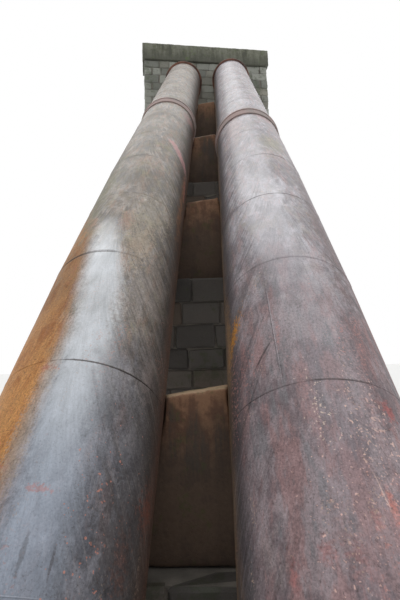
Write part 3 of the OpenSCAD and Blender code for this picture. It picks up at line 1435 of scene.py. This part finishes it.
@dataclass
class StoneYard:
    """Dresses the few rough stones that every course is laid from.

    Each stone is set down one step further on while its faces are roughened, so that no two take
    the same stretch of the relief.
    """

    size: Triple = (0.60, 0.25, 0.33)
    kinds: int = 6
    arris: float = 0.026
    roughness: float = 0.058
    relief_size: float = 0.16
    step: Triple = (3.7, 1.3, 0.0)

    def dress(self) -> list[Shape]:
        """Cuts the stones.

        Returns:
            The points and faces of each kind.
        """
        relief = clouds("quarry_face", self.relief_size)
        made = []
        for number in range(self.kinds):
            clear_selection()
            bpy.ops.mesh.primitive_cube_add(size=1.0, location=(0, 0, 0), scale=self.size)
            piece = bpy.context.object
            apply_place(piece)
            with edit_mode():
                bpy.ops.mesh.bevel(offset=self.arris, segments=1, affect="EDGES")
                bpy.ops.mesh.select_all(action="DESELECT")
            for face in piece.data.polygons:
                face.select = abs(face.normal.y) > 0.9
            with edit_mode(select_all=False):
                bpy.ops.mesh.subdivide(number_cuts=2)
            piece.location = [along * number for along in self.step]
            modify(piece, "DISPLACE", texture=relief, texture_coords="GLOBAL", mid_level=0.42,
                   strength=self.roughness)
            made.append((points_of(piece).astype(np.float64),
                         [list(face.vertices) for face in piece.data.polygons]))
            bpy.data.objects.remove(piece)
        return made


@dataclass
class Block:
    """A rectangular block of masonry in its own frame.

    Each hole is the middle's X and Z and the radius, in the object's frame, and runs along Y.
    """

    half: tuple[float, float]
    centre: tuple[float, float]
    bottom: float
    top: float
    frame: Matrix = field(default_factory=Matrix)
    holes: tuple[Triple, ...] = ()
    skew: float = 0.0


def divide(low: float, high: float, weights: np.ndarray) -> list[tuple[float, float]]:
    """Divides a length in proportion to weights.

    Args:
        low: Where it starts.
        high: Where it ends.
        weights: One for each part.

    Returns:
        The start and end of each part.
    """
    edges = low + np.concatenate([[0.0], np.cumsum(weights)]) * (high - low) / weights.sum()
    return list(zip(edges[:-1], edges[1:]))


@dataclass
class Mason:
    """Lays squared stones in courses round blocks, with quoins at the corners.

    The stones stand proud of the block, which shows between them as the mortar. A pair of numbers
    is the least and the most of a random length or factor.

    Attributes:
        course: Height of a course.
        joint: Width of the mortar joints.
        proud: The most that a stone stands out.
        quoin: Length of a long quoin.
        quoin_extra: How much deeper a quoin is than another stone.
        long_room: The share of a long quoin that the face beside it leaves free.
        short_room: What the face leaves free beside a short quoin, past a stone's depth.
        tilt: The most that a stone leans in its length, as a slope.
        lean: How many times more its ends lean.
        core: The share of a stone's size past which its points move with its edges.
        floor_gap: How far the lowest points stay above the floor.
        uneven: Factor on a course's height and on a quoin's length.
        widths: Factor on a stone's length.
        lengths: Length of a stone.
        quoin_out: Share of proud that a quoin stands out.
        stone_out: Share of proud that another stone stands out.
        shortest: The shortest span that is filled.
        sliver: The shortest that is left beside a hole.
    """

    yard: StoneYard
    course: float = 0.34
    joint: float = 0.014
    proud: float = 0.034
    quoin: float = 0.62
    quoin_extra: float = 0.04
    long_room: float = 0.98
    short_room: float = 0.05
    tilt: float = 0.026
    lean: float = 2.5
    core: float = 0.38
    floor_gap: float = 0.002
    uneven: tuple[float, float] = (0.85, 1.15)
    widths: tuple[float, float] = (0.72, 1.28)
    lengths: tuple[float, float] = (0.50, 0.62)
    quoin_out: tuple[float, float] = (0.5, 1.0)
    stone_out: tuple[float, float] = (0.6, 1.0)
    shortest: float = 0.07
    sliver: float = 0.05
    kinds: list[Shape] = field(init=False)

    def __post_init__(self) -> None:
        """Has the yard dress its stones."""
        self.kinds = self.yard.dress()

    def lay(self, blocks: Sequence[Block], name: str, seed: int) -> bpy.types.Object:
        """Lays all the stones of some blocks, as one piece.

        Args:
            blocks: The blocks.
            name: The piece's name.
            seed: Start of the random numbers.

        Returns:
            The joined stones, with a tone for each.
        """
        dice = np.random.default_rng(seed)
        points, faces, tones = [], [], []
        count = 0
        for block in blocks:
            turn = np.array(block.frame.to_3x3())
            shift = np.array(block.frame.translation)
            for centre, size, yaw in self.courses(block, dice):
                shape, outline = self.kinds[dice.integers(len(self.kinds))]
                stone = self.fit(shape, size, dice)
                cos, sin = math.cos(yaw), math.sin(yaw)
                swing = np.array([[cos, sin, 0], [-sin, cos, 0], [0, 0, 1]])
                stone = stone @ swing + np.array(centre)
                stone = stone @ turn.T + shift
                stone[:, 2] = np.maximum(stone[:, 2], self.floor_gap)
                points.append(stone)
                faces += [[count + i for i in face] for face in outline]
                tones.append(np.full(len(stone), dice.random()))
                count += len(stone)
        mesh = bpy.data.meshes.new(name)
        mesh.from_pydata(np.concatenate(points).tolist(), [], faces)
        mesh.update()
        write_attribute(mesh, "tone", np.concatenate(tones))
        piece = add_object(name, mesh)
        smooth(piece, 38.0)
        return piece

    def fit(self, shape: np.ndarray, size: Triple, dice: np.random.Generator) -> np.ndarray:
        """Stretches a stone to a size, its edges kept, and sets it a little askew.

        Args:
            shape: The stone's points.
            size: The size wanted.
            dice: The random numbers.

        Returns:
            The new points.
        """
        stone = shape.copy()
        for half_turn in ((-1, 1, -1), (-1, -1, 1)):
            if dice.random() < 0.5:
                stone = stone * np.array(half_turn)
        for axis in range(3):
            own = self.yard.size[axis]
            spread = np.clip(stone[:, axis] / (own * self.core), -1.0, 1.0)
            stone[:, axis] += spread * (size[axis] - own) / 2
        stone[:, 2] += stone[:, 0] * dice.uniform(-self.tilt, self.tilt)
        stone[:, 0] += stone[:, 2] * dice.uniform(-self.tilt, self.tilt) * self.lean
        return stone

    def heights(self, block: Block, dice: np.random.Generator) -> list[tuple[float, float]]:
        """Divides a block's height into courses.

        Args:
            block: The block.
            dice: The random numbers.

        Returns:
            The bottom and top of each course.
        """
        number = max(1, round((block.top - block.bottom) / self.course))
        return divide(block.bottom, block.top, dice.uniform(*self.uneven, number))

    def courses(self, block: Block, dice: np.random.Generator) -> Iterator[Placed]:
        """Places the stones of every course.

        Args:
            block: The block.
            dice: The random numbers.

        Yields:
            The centre, size and turn of each stone.
        """
        thick = self.yard.size[1] + self.quoin_extra
        for row, (low, high) in enumerate(self.heights(block, dice)):
            middle, height = (low + high) / 2, high - low - self.joint
            for side_x in (-1, 1):
                for side_y in (-1, 1):
                    long_x = (row + (side_x * side_y > 0)) % 2 == 0
                    length = self.quoin * dice.uniform(*self.uneven)
                    out = dice.uniform(*self.quoin_out) * self.proud
                    wide, deep = (length, thick) if long_x else (thick, length)
                    x = block.centre[0] + side_x * (block.half[0] + out - wide / 2)
                    y = block.centre[1] + side_y * (block.half[1] + out - deep / 2)
                    turn = 0.0 if long_x else math.pi / 2
                    yield (x, y, middle), (length, thick, height), turn
            for axis in (0, 1):
                for sign in (-1, 1):
                    yield from self.face(block, axis, sign, row, low, high, dice)

    def face(self, block: Block, axis: int, sign: int, row: int, low: float, high: float,
             dice: np.random.Generator) -> Iterator[Placed]:
        """Fills one face of one course between its quoins.

        Args:
            block: The block.
            axis: 0 for a face that runs along X, 1 for one along Y.
            sign: Which of the two opposite faces.
            row: Number of the course.
            low: Bottom of the course.
            high: Top of the course.
            dice: The random numbers.

        Yields:
            The centre, size and turn of each stone.
        """
        deep = self.yard.size[1]
        half = block.half[axis]
        long_end, short_end = self.quoin * self.long_room, deep + self.short_room
        ends = []
        for end in (-1, 1):
            corner = end * sign
            long_x = (row + (corner > 0)) % 2 == 0
            ends.append(long_end if long_x == (axis == 0) else short_end)
        spans = [(-half + ends[0] + self.joint, half - ends[1] - self.joint)]
        if axis == 0:
            spans = self.open_spans(block, sign, spans[0], low, high)
        for start, stop in spans:
            if stop - start < self.shortest:
                continue
            number = max(1, round((stop - start) / dice.uniform(*self.lengths)))
            for left, right in divide(start, stop, dice.uniform(*self.widths, number)):
                out = dice.uniform(*self.stone_out) * self.proud
                across = sign * (block.half[1 - axis] + out - deep / 2)
                size = (right - left - self.joint, deep, high - low - self.joint)
                along, up = (left + right) / 2, (low + high) / 2
                x, y = (along, across) if axis == 0 else (across, along)
                yield (block.centre[0] + x, block.centre[1] + y, up), size, axis * math.pi / 2

    def open_spans(self, block: Block, sign: int, span: tuple[float, float], low: float,
                   high: float) -> list[tuple[float, float]]:
        """Leaves out of a span what the pipes' holes take.

        Args:
            block: The block, with its holes.
            sign: Which face.
            span: The span to divide.
            low: Bottom of the course.
            high: Top of the course.

        Returns:
            The spans that are left.
        """
        spans = [span]
        skew = math.radians(block.skew)
        depth = block.centre[1] + sign * block.half[1]
        for x, z, radius in block.holes:
            near = min(abs(low - z), abs(high - z)) if not low < z < high else 0.0
            if near >= radius:
                continue
            reach = math.sqrt(radius ** 2 - near ** 2) / math.cos(skew)
            centre = (x + depth * math.sin(skew)) / math.cos(skew)
            parts = []
            for start, stop in spans:
                parts.append((start, min(stop, centre - reach)))
                parts.append((max(start, centre + reach), stop))
            spans = [part for part in parts if part[1] - part[0] > self.sliver]
        return spans


@dataclass
class Masonry:
    """Stone piers and the stone head wall, both stepping out downwards."""

    layout: Layout
    mason: Mason
    pier_seed: int = 40
    wall_seed: int = 60
    hole_clear: float = 0.03
    wall_lifts: tuple[str, ...] = ("head_wall_foot", "head_wall_lower", "head_wall_middle",
                                   "head_wall_top")

    def build(self) -> None:
        """Lays every pier and every lift of the wall."""
        mortar = MortarFinish().dress()
        pier_stone = WET_AND_SHADED_PIER_STONE.dress()
        wall_stone = WALL_STONE.dress()
        for number in range(1, len(self.layout.saddle_stations) + 1):
            node = f"pier_{number}"
            self.coat(node, mortar)
            piece = self.mason.lay(self.pier(node), f"{node}_stones", self.pier_seed + number)
            hand_over(piece, pier_stone, "pier_stone")
        for number, node in enumerate(self.wall_lifts):
            self.coat(node, mortar)
            piece = self.mason.lay([self.wall_lift(number)], f"{node}_stones",
                                   self.wall_seed + number)
            hand_over(piece, wall_stone, "wall_stone")

    def pier(self, node: str) -> list[Block]:
        """Divides a pier into lifts, each a step wider than the one on it.

        Args:
            node: The pier's CAD node.

        Returns:
            Its lifts, from the foot up.
        """
        layout = self.layout
        low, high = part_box(node)
        lifts = math.ceil(round(high.z / layout.lift_height, 4))
        centre = (0.0, (low.y + high.y) / 2)
        blocks = []
        for lift in range(lifts):
            out = (lifts - 1 - lift) * layout.lift_step
            half = (layout.pier_size[0] / 2 + out, layout.pier_size[1] / 2 + out)
            blocks.append(Block(half=half, centre=centre, bottom=lift * layout.lift_height,
                                top=min((lift + 1) * layout.lift_height, high.z)))
        return blocks

    def wall_lift(self, number: int) -> Block:
        """Sets out one lift of the head wall, which stands at a skew to the pipes.

        Args:
            number: Its number, from the foot up.

        Returns:
            The lift. The top one has the pipes' holes.
        """
        layout = self.layout
        low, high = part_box(self.wall_lifts[number])
        steps = len(self.wall_lifts) - 1 - number
        out = steps * layout.lift_step
        holes = []
        if steps == 0:
            for side in Side:
                middle = layout.point(side, layout.elbow_station)
                holes.append((middle.x, middle.z, layout.radius + self.hole_clear))
        skew = Matrix.Translation((0, layout.wall_face, 0)) @ Matrix.Rotation(
            math.radians(layout.wall_skew), 4, "Z")
        return Block(half=(layout.wall_size[0] / 2 + out, layout.wall_size[1] / 2 + out),
                     centre=(0.0, layout.wall_overhang + layout.wall_size[1] / 2), bottom=low.z,
                     top=high.z, frame=skew, holes=tuple(holes), skew=layout.wall_skew)

    @staticmethod
    def coat(node: str, material: bpy.types.Material) -> None:
        """Gives a CAD node a material.

        Args:
            node: The node that stays.
            material: Its finish.
        """
        made = frame["nodes"][node]
        made.data.materials.clear()
        made.data.materials.append(material)


# Studio


@dataclass
class Studio:
    """Pale floor, soft light, plain background and the camera.

    The camera's place, turn and lens were fitted to the edges and ring seams of the pipes.
    """

    eye: Triple = (0.25398, -1.20386, 5.75862)
    pitch: float = 8.186
    yaw: float = 3.053
    roll: float = -1.627
    lens: float = 23.93
    sensor: float = 36.0
    sight: float = 1000.0
    sky: float = 0.42
    sun: float = 2.2
    sun_spread: float = 75.0
    sun_turn: tuple[float, float] = (-18.0, 4.0)
    floor_size: float = 400.0
    floor_tones: tuple[Colour, Colour] = ((0.74, 0.74, 0.73), (0.80, 0.80, 0.79))

    def build(self) -> None:
        """Sets up the studio."""
        self.floor()
        self.world()
        self.lamps()
        self.camera()
        bpy.context.scene.view_settings.view_transform = "Standard"

    def floor(self) -> None:
        """Lays the pale floor."""
        clear_selection()
        bpy.ops.mesh.primitive_plane_add(size=self.floor_size, location=(0, 0, 0))
        piece = bpy.context.object
        piece.name = piece.data.name = "studio_floor"
        material, board = Board.material("pale_floor")
        speckle = board.noise(board.place(), 3.0, 3.0)
        board.surface(Base_Color=board.mix(speckle, *self.floor_tones), Roughness=0.8)
        piece.data.materials.append(material)

    def world(self) -> None:
        """Lights the scene dimly all round and shows white where rays look past the object."""
        world = bpy.data.worlds.new("studio_sky")
        bpy.context.scene.world = world
        world.use_nodes = True
        board = Board(world.node_tree)
        path = board.tree.nodes.new("ShaderNodeLightPath")
        seen = Wire(board, path.outputs["Is Camera Ray"])
        for name in ("Is Glossy Ray", "Is Transmission Ray"):
            seen = board.math("MAXIMUM", seen, Wire(board, path.outputs[name]))
        strength = board.blend(seen, self.sky, 1.0)
        made = board.node("ShaderNodeBackground",
                          inputs={"Color": (1.0, 1.0, 1.0), "Strength": strength})
        board.close(made, "World")

    def lamps(self) -> None:
        """Hangs one broad soft light over the slope."""
        data = bpy.data.lights.new("overhead", "SUN")
        data.energy = self.sun
        data.angle = math.radians(self.sun_spread)
        lamp = add_object("overhead", data)
        tilt, roll = self.sun_turn
        lamp.rotation_euler = (math.radians(tilt), math.radians(roll), 0.0)

    def camera(self) -> None:
        """Stands the camera over the gap between the pipes, looking uphill."""
        data = bpy.data.cameras.new("camera")
        data.lens = self.lens
        data.sensor_width = self.sensor
        data.sensor_fit = "AUTO"
        data.clip_end = self.sight
        camera = add_object("camera", data)
        turn = Euler((math.radians(90 + self.pitch), 0, math.radians(self.yaw))).to_matrix()
        turn = turn @ Matrix.Rotation(math.radians(self.roll), 3, "Z")
        camera.matrix_world = Matrix.Translation(self.eye) @ turn.to_4x4()
        bpy.context.scene.camera = camera


# Finishes of this pair of pipes


LEFT_STEEL = PipeFinish(
    name="left_pipe_steel",
    body=(0.105, 0.105, 0.122), body_light=(0.195, 0.195, 0.222),
    body_red=(0.165, 0.118, 0.115), body_grey=(0.135, 0.145, 0.165), hued=0.45,
    upper=(0.160, 0.134, 0.106), upper_light=(0.430, 0.390, 0.362), moss=(0.225, 0.205, 0.120),
    upper_warm=(0.340, 0.215, 0.155), upper_cool=(0.180, 0.182, 0.200),
    inner_shade_and_dirt=(0.062, 0.053, 0.048), edge=(0.13, 0.060, 0.035),
    outer=(0.56, 0.270, 0.088), outer_deep=(0.33, 0.130, 0.040),
    outer_dull=(0.185, 0.105, 0.065),
    scratch=(0.33, 0.31, 0.31), fleck=(0.38, 0.16, 0.12), fleck_pale=(0.42, 0.30, 0.22),
    seam_lead=0.0, inner_sign=1.0, inner_from=36.0, inner_reach=42.0, upper_from=5.1,
    flecked=0.55, scratched=0.14,
    outer_edge=((0.0, -2.0), (5.0, -6.0), (5.7, -3.0), (6.4, -5.0), (7.2, -10.0), (8.2, -24.0),
                (9.2, -60.0), (12.0, -95.0), (23.0, -120.0)),
    wet_sheen_from=((0.0, 0.0), (4.9, -1.0), (5.8, -4.0), (6.3, 0.0), (7.0, -6.0), (8.4, -16.0),
              (23.0, -9.0)),
    wet_sheen_to=((0.0, 30.0), (5.0, 30.0), (5.8, 30.0), (6.4, 30.0), (7.0, 24.0), (7.7, 11.0),
            (8.5, 4.0), (23.0, 4.0)),
    wet_sheen_amount=((0.0, 0.50), (4.5, 0.65), (4.95, 0.90), (5.7, 1.0), (6.3, 1.0), (6.7, 0.80),
                (7.15, 0.95), (7.5, 0.95), (8.0, 0.45), (8.35, 0.0), (23.0, 0.0)),
    seams=(SeamMark(7.5, -26.0, 38.0, 0.95), SeamMark(6.0, 34.0, 32.0, 0.95),
           SeamMark(10.5, -2.0, 22.0, 0.6)),
    wet_sheen_colour=(0.335, 0.385, 0.475), wet_sheen_high=(0.50, 0.535, 0.580),
    # The values are a Patch's fields in order, or those that flecks takes
    patches=(
        Patch(5.02, 12.0, 0.03, 7.0, (0.46, 0.22, 0.21), 0.6, 2.4, 50.0),
        Patch(5.93, -7.0, 0.04, 7.0, (0.46, 0.17, 0.12), 0.7, 2.4, 50.0),
        Patch(7.0, 44.0, 0.80, 24.0, (0.235, 0.200, 0.178), 0.5, 1.4, 22.0, 12.0),
        Patch(5.95, 36.0, 0.42, 22.0, (0.225, 0.222, 0.245), 0.7, 1.2, 14.0, soft=1.0),
        Patch(6.1, 60.0, 0.36, 11.0, (0.210, 0.170, 0.158), 0.6, 1.2, 14.0, soft=1.0),
        Patch(4.75, 60.0, 0.24, 8.0, (0.22, 0.095, 0.065), 0.6, 2.2, 30.0, soft=1.0),
        flecks(4.9, 44.0, 1.0, 26.0, (0.50, 0.225, 0.175), 0.85, 36.0, -0.95, 1.2),
        Patch(4.68, 13.0, 0.15, 1.6, (0.10, 0.100, 0.110), 0.5, 0.8, 40.0),
        Patch(4.66, 26.0, 0.10, 0.9, (0.06, 0.055, 0.060), 0.6, 0.8, 40.0),
        Patch(4.9, 58.0, 0.5, 20.0, (0.060, 0.056, 0.058), 0.6, 1.2, 14.0),
        Patch(9.3, -38.0, 1.8, 26.0, (0.185, 0.180, 0.115), 0.75, 1.8, 9.0, cover=1.1, soft=0.9),
        Patch(9.2, 14.0, 0.8, 14.0, (0.155, 0.120, 0.090), 0.5, 2.0, 9.0, 20.0),
        Patch(9.0, 34.0, 0.45, 12.0, (0.105, 0.085, 0.062), 0.6, 2.4, 12.0, 18.0),
        Patch(9.6, 75.0, 1.7, 9.0, (0.270, 0.135, 0.070), 0.7, 1.6, 12.0, soft=1.0),
        Patch(10.3, 79.0, 0.60, 6.0, (0.50, 0.220, 0.170), 0.7, 1.0, 9.0, -6.0, soft=0.8),
        Patch(5.55, -20.0, 0.80, 12.0, (0.50, 0.185, 0.115), 0.7, 3.6, 36.0, 0.0, -0.8, 0.3, 2.0),
        Patch(6.6, -22.0, 0.70, 13.0, (0.44, 0.20, 0.125), 0.6, 3.6, 36.0, 0.0, -0.8, 0.3, 2.0),
        Patch(5.30, -8.0, 0.50, 7.0, (0.33, 0.270, 0.215), 0.6, 2.0, 60.0),
        Patch(5.90, -5.0, 0.32, 6.0, (0.44, 0.370, 0.310), 0.6, 1.6, 40.0, soft=1.0),
        Patch(8.2, 12.0, 0.30, 8.0, (0.38, 0.21, 0.16), 0.6, 2.6, 50.0),
        Patch(7.75, 30.0, 0.45, 14.0, (0.42, 0.33, 0.24), 0.6, 2.2, 40.0),
        Patch(11.36, 54.0, 0.60, 13.0, (0.54, 0.300, 0.300), 0.9, 0.5, 9.0, -50.0),
        Patch(14.3, 62.0, 0.40, 26.0, (0.38, 0.21, 0.19), 0.6, 1.2, 10.0),
        Patch(5.1, 78.0, 0.22, 12.0, (0.22, 0.075, 0.050), 0.6, 1.8, soft=1.0),
        Patch(8.5, 34.0, 0.80, 24.0, (0.33, 0.285, 0.215), 0.5, 2.2, 24.0, 14.0),
    ),
)

RIGHT_STEEL = PipeFinish(
    name="right_pipe_steel",
    body=(0.200, 0.155, 0.167), body_light=(0.310, 0.252, 0.266),
    body_red=(0.320, 0.190, 0.188), body_grey=(0.200, 0.195, 0.208), hued=0.7,
    upper=(0.235, 0.205, 0.225), upper_light=(0.475, 0.450, 0.488), moss=(0.29, 0.255, 0.215),
    upper_warm=(0.420, 0.290, 0.290), upper_cool=(0.250, 0.255, 0.285),
    inner_shade_and_dirt=(0.070, 0.062, 0.065), edge=(0.30, 0.180, 0.075),
    outer=(0.26, 0.125, 0.115), outer_deep=(0.17, 0.075, 0.065),
    outer_dull=(0.155, 0.090, 0.075),
    scratch=(0.34, 0.31, 0.36), fleck=(0.42, 0.20, 0.18), fleck_pale=(0.56, 0.40, 0.31),
    seam_lead=0.25, inner_sign=-1.0, inner_from=50.0, inner_reach=20.0,
    upper_from=6.2, scratched=0.20,
    outer_edge=((0.0, -66.0), (5.5, -60.0), (7.0, -54.0), (9.0, -64.0), (23.0, -90.0)),
    wet_sheen_from=((0.0, -22.0), (6.6, -18.0), (7.6, -9.0), (9.0, -6.0), (12.0, 0.0), (23.0, 0.0)),
    wet_sheen_to=((0.0, 16.0), (6.6, 18.0), (7.6, 30.0), (9.0, 38.0), (12.0, 40.0), (23.0, 40.0)),
    wet_sheen_amount=((0.0, 0.12), (6.6, 0.20), (7.6, 0.42), (8.8, 0.52), (9.8, 0.30), (11.5, 0.18),
                (23.0, 0.12)),
    seams=(SeamMark(5.75, 8.0, 18.0, 0.65), SeamMark(5.75, -40.0, 22.0, 0.30),
           SeamMark(8.75, 0.0, 40.0, 0.85), SeamMark(10.25, 10.0, 22.0, 0.8),
           SeamMark(7.25, -18.0, 22.0, 0.25)),
    wet_sheen_colour=(0.30, 0.27, 0.32), wet_sheen_high=(0.46, 0.450, 0.505),
    # The values are a Patch's fields in order, or those that flecks takes
    patches=(
        Patch(6.56, -64.0, 0.30, 9.0, (0.56, 0.240, 0.035), 0.9, 2.0, 34.0, 44.0, soft=0.9),
        Patch(6.60, -74.0, 0.80, 11.0, (0.34, 0.200, 0.090), 0.7, 1.2, 30.0, soft=1.0),
        flecks(5.40, 20.0, 0.60, 11.0, (0.74, 0.50, 0.43), 0.95, 36.0, -0.35, 1.8),
        flecks(5.42, 9.0, 0.55, 8.0, (0.72, 0.50, 0.42), 0.95, 40.0, -0.45, 1.8),
        Patch(5.5, 20.0, 0.45, 16.0, (0.40, 0.195, 0.185), 0.5, 2.6, 22.0, 0.0, 0.5, 1.0),
        flecks(6.15, 10.0, 0.70, 28.0, (0.58, 0.42, 0.39), 0.75, 54.0, -0.9, 1.6),
        flecks(5.5, -9.0, 0.50, 14.0, (0.68, 0.54, 0.46), 0.9, 46.0, -0.7, 1.6),
        flecks(4.95, 16.0, 0.45, 20.0, (0.70, 0.40, 0.35), 0.9, 38.0, -0.65, 1.6),
        Patch(4.70, -20.0, 0.10, 5.0, (0.38, 0.15, 0.14), 0.55, 1.6, 26.0, soft=1.1),
        Patch(4.83, 4.0, 0.08, 3.0, (0.50, 0.20, 0.18), 0.75, 1.6, 26.0, soft=0.9),
        Patch(4.90, 13.0, 0.17, 2.6, (0.66, 0.27, 0.23), 0.9, 1.5, 30.0, soft=0.8),
        Patch(4.98, 10.0, 0.15, 0.5, (0.74, 0.55, 0.50), 0.8, 0.5, 60.0, -14.0),
        Patch(4.66, -8.0, 0.16, 6.0, (0.38, 0.165, 0.155), 0.5, 1.8, 26.0, soft=1.1),
        Patch(6.10, -37.0, 0.17, 1.5, (0.045, 0.030, 0.032), 0.75, 0.3, 40.0, 70.0),
        Patch(6.45, -26.9, 0.72, 0.60, (0.045, 0.036, 0.040), 0.5, 0.8, 60.0),
        Patch(6.45, -26.2, 0.72, 0.50, (0.46, 0.41, 0.44), 0.7, 0.8, 60.0),
        Patch(8.3, 42.0, 2.2, 18.0, (0.125, 0.078, 0.076), 0.5, 1.6, 10.0),
        Patch(4.9, 45.0, 0.34, 8.0, (0.48, 0.18, 0.17), 0.75, 1.8, 20.0, -14.0),
        Patch(5.55, 32.0, 0.10, 5.0, (0.42, 0.12, 0.11), 0.7, 1.8, 30.0),
        Patch(4.62, -36.0, 0.12, 3.5, (0.40, 0.15, 0.14), 0.6, 1.6, 26.0, soft=1.1),
        flecks(4.8, -6.0, 0.8, 36.0, (0.68, 0.45, 0.40), 0.9, 42.0, -0.9, 1.4),
        Patch(4.75, 4.0, 0.50, 24.0, (0.37, 0.240, 0.240), 0.5, 1.6, 14.0, soft=1.0),
        Patch(5.65, 17.0, 0.9, 13.0, (0.43, 0.345, 0.360), 0.5, 1.4, 14.0, soft=1.0),
        Patch(5.23, 17.0, 0.3, 10.0, (0.43, 0.345, 0.360), 0.5, 1.4, 14.0, soft=1.0),
        Patch(7.0, -50.0, 0.45, 12.0, (0.150, 0.130, 0.135), 0.45, 1.4, 14.0, soft=1.0),
        Patch(4.72, -47.0, 0.22, 10.0, (0.36, 0.300, 0.300), 0.5, 1.4, 14.0, soft=1.0),
        Patch(10.9, 20.0, 0.55, 20.0, (0.27, 0.26, 0.13), 0.5, 3.0, 40.0),
        Patch(12.4, -32.0, 1.3, 20.0, (0.42, 0.29, 0.28), 0.5, 2.2, 20.0),
        Patch(13.0, 30.0, 0.5, 20.0, (0.42, 0.24, 0.22), 0.55, 1.6, 12.0),
    ),
)

SADDLE_CONCRETE = ConcreteFinish(
    name="rust_stained_concrete", body=(0.30, 0.165, 0.095), stain=(0.155, 0.075, 0.045),
    dark=(0.080, 0.066, 0.054), top=(0.36, 0.25, 0.155), moss=(0.085, 0.100, 0.035),
    moss_amount=0.5)

COPING_CONCRETE = ConcreteFinish(
    name="weathered_coping_concrete", body=(0.25, 0.255, 0.205), stain=(0.155, 0.160, 0.115),
    dark=(0.085, 0.088, 0.070), top=(0.30, 0.31, 0.26), moss=(0.12, 0.17, 0.06),
    moss_amount=0.55)

SLEEVE_PAINT = JointIron(
    name="worn_sleeve_paint", fresh=(0.41, 0.29, 0.27), dark=(0.30, 0.250, 0.235),
    pale=(0.52, 0.48, 0.47))

# Darker than the wall's stone: partly wet stone, partly painted shade where the piers stand between
# and under the pipes
WET_AND_SHADED_PIER_STONE = StoneFinish(
    name="wet_and_shaded_pier_stone", dark=(0.050, 0.046, 0.043), light=(0.165, 0.150, 0.135),
    warm=(0.17, 0.12, 0.085), moss=(0.060, 0.075, 0.030))

WALL_STONE = StoneFinish(
    name="grey_wall_stone", dark=(0.150, 0.155, 0.137), light=(0.52, 0.535, 0.48),
    warm=(0.33, 0.30, 0.24), moss=(0.130, 0.170, 0.080))

WELD_ANGLES = (128.0, -146.0, 104.0, 160.0, -118.0, 140.0, -160.0, 112.0, -134.0, 150.0, -108.0,
               122.0, -150.0, 136.0, -125.0)

# The lengthwise weld of the right pipe's fifth course lies near the crown, in sight
RIGHT_WELD_ANGLES = WELD_ANGLES[:4] + (-25.5,) + WELD_ANGLES[5:]


# The whole object


def main() -> None:
    """Builds every sub-assembly in order and sets the studio up round them."""
    logging.basicConfig(level=logging.INFO, format="%(name)s: %(message)s")
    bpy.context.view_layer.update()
    mounts = {mount["name"]: mount for mount in frame["record"]["mounts"]}
    beam_reach = Layout.beam_length / 2 * math.sin(math.radians(Layout.wall_skew))
    layout = Layout(lower_end=Vector(mounts["left_outlet_bolts"]["pos_m"]),
                    wall_face=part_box("coping_beam")[0].y + beam_reach)
    PipeLine(layout, Side.LEFT, LEFT_STEEL, WELD_ANGLES).build()
    PipeLine(layout, Side.RIGHT, RIGHT_STEEL, RIGHT_WELD_ANGLES).build()
    Joints().build()
    relief = clouds("concrete_wear", size=0.22, depth=3)
    saddle = SADDLE_CONCRETE.dress()
    for number in range(1, len(layout.saddle_stations) + 1):
        Casting(f"saddle_{number}", saddle, "saddle_concrete").build(relief)
    Casting("coping_beam", COPING_CONCRETE.dress(), "coping_concrete", wear=0.03).build(relief)
    Masonry(layout, Mason(StoneYard())).build()
    Studio().build()


if __name__ == "__main__":
    main()
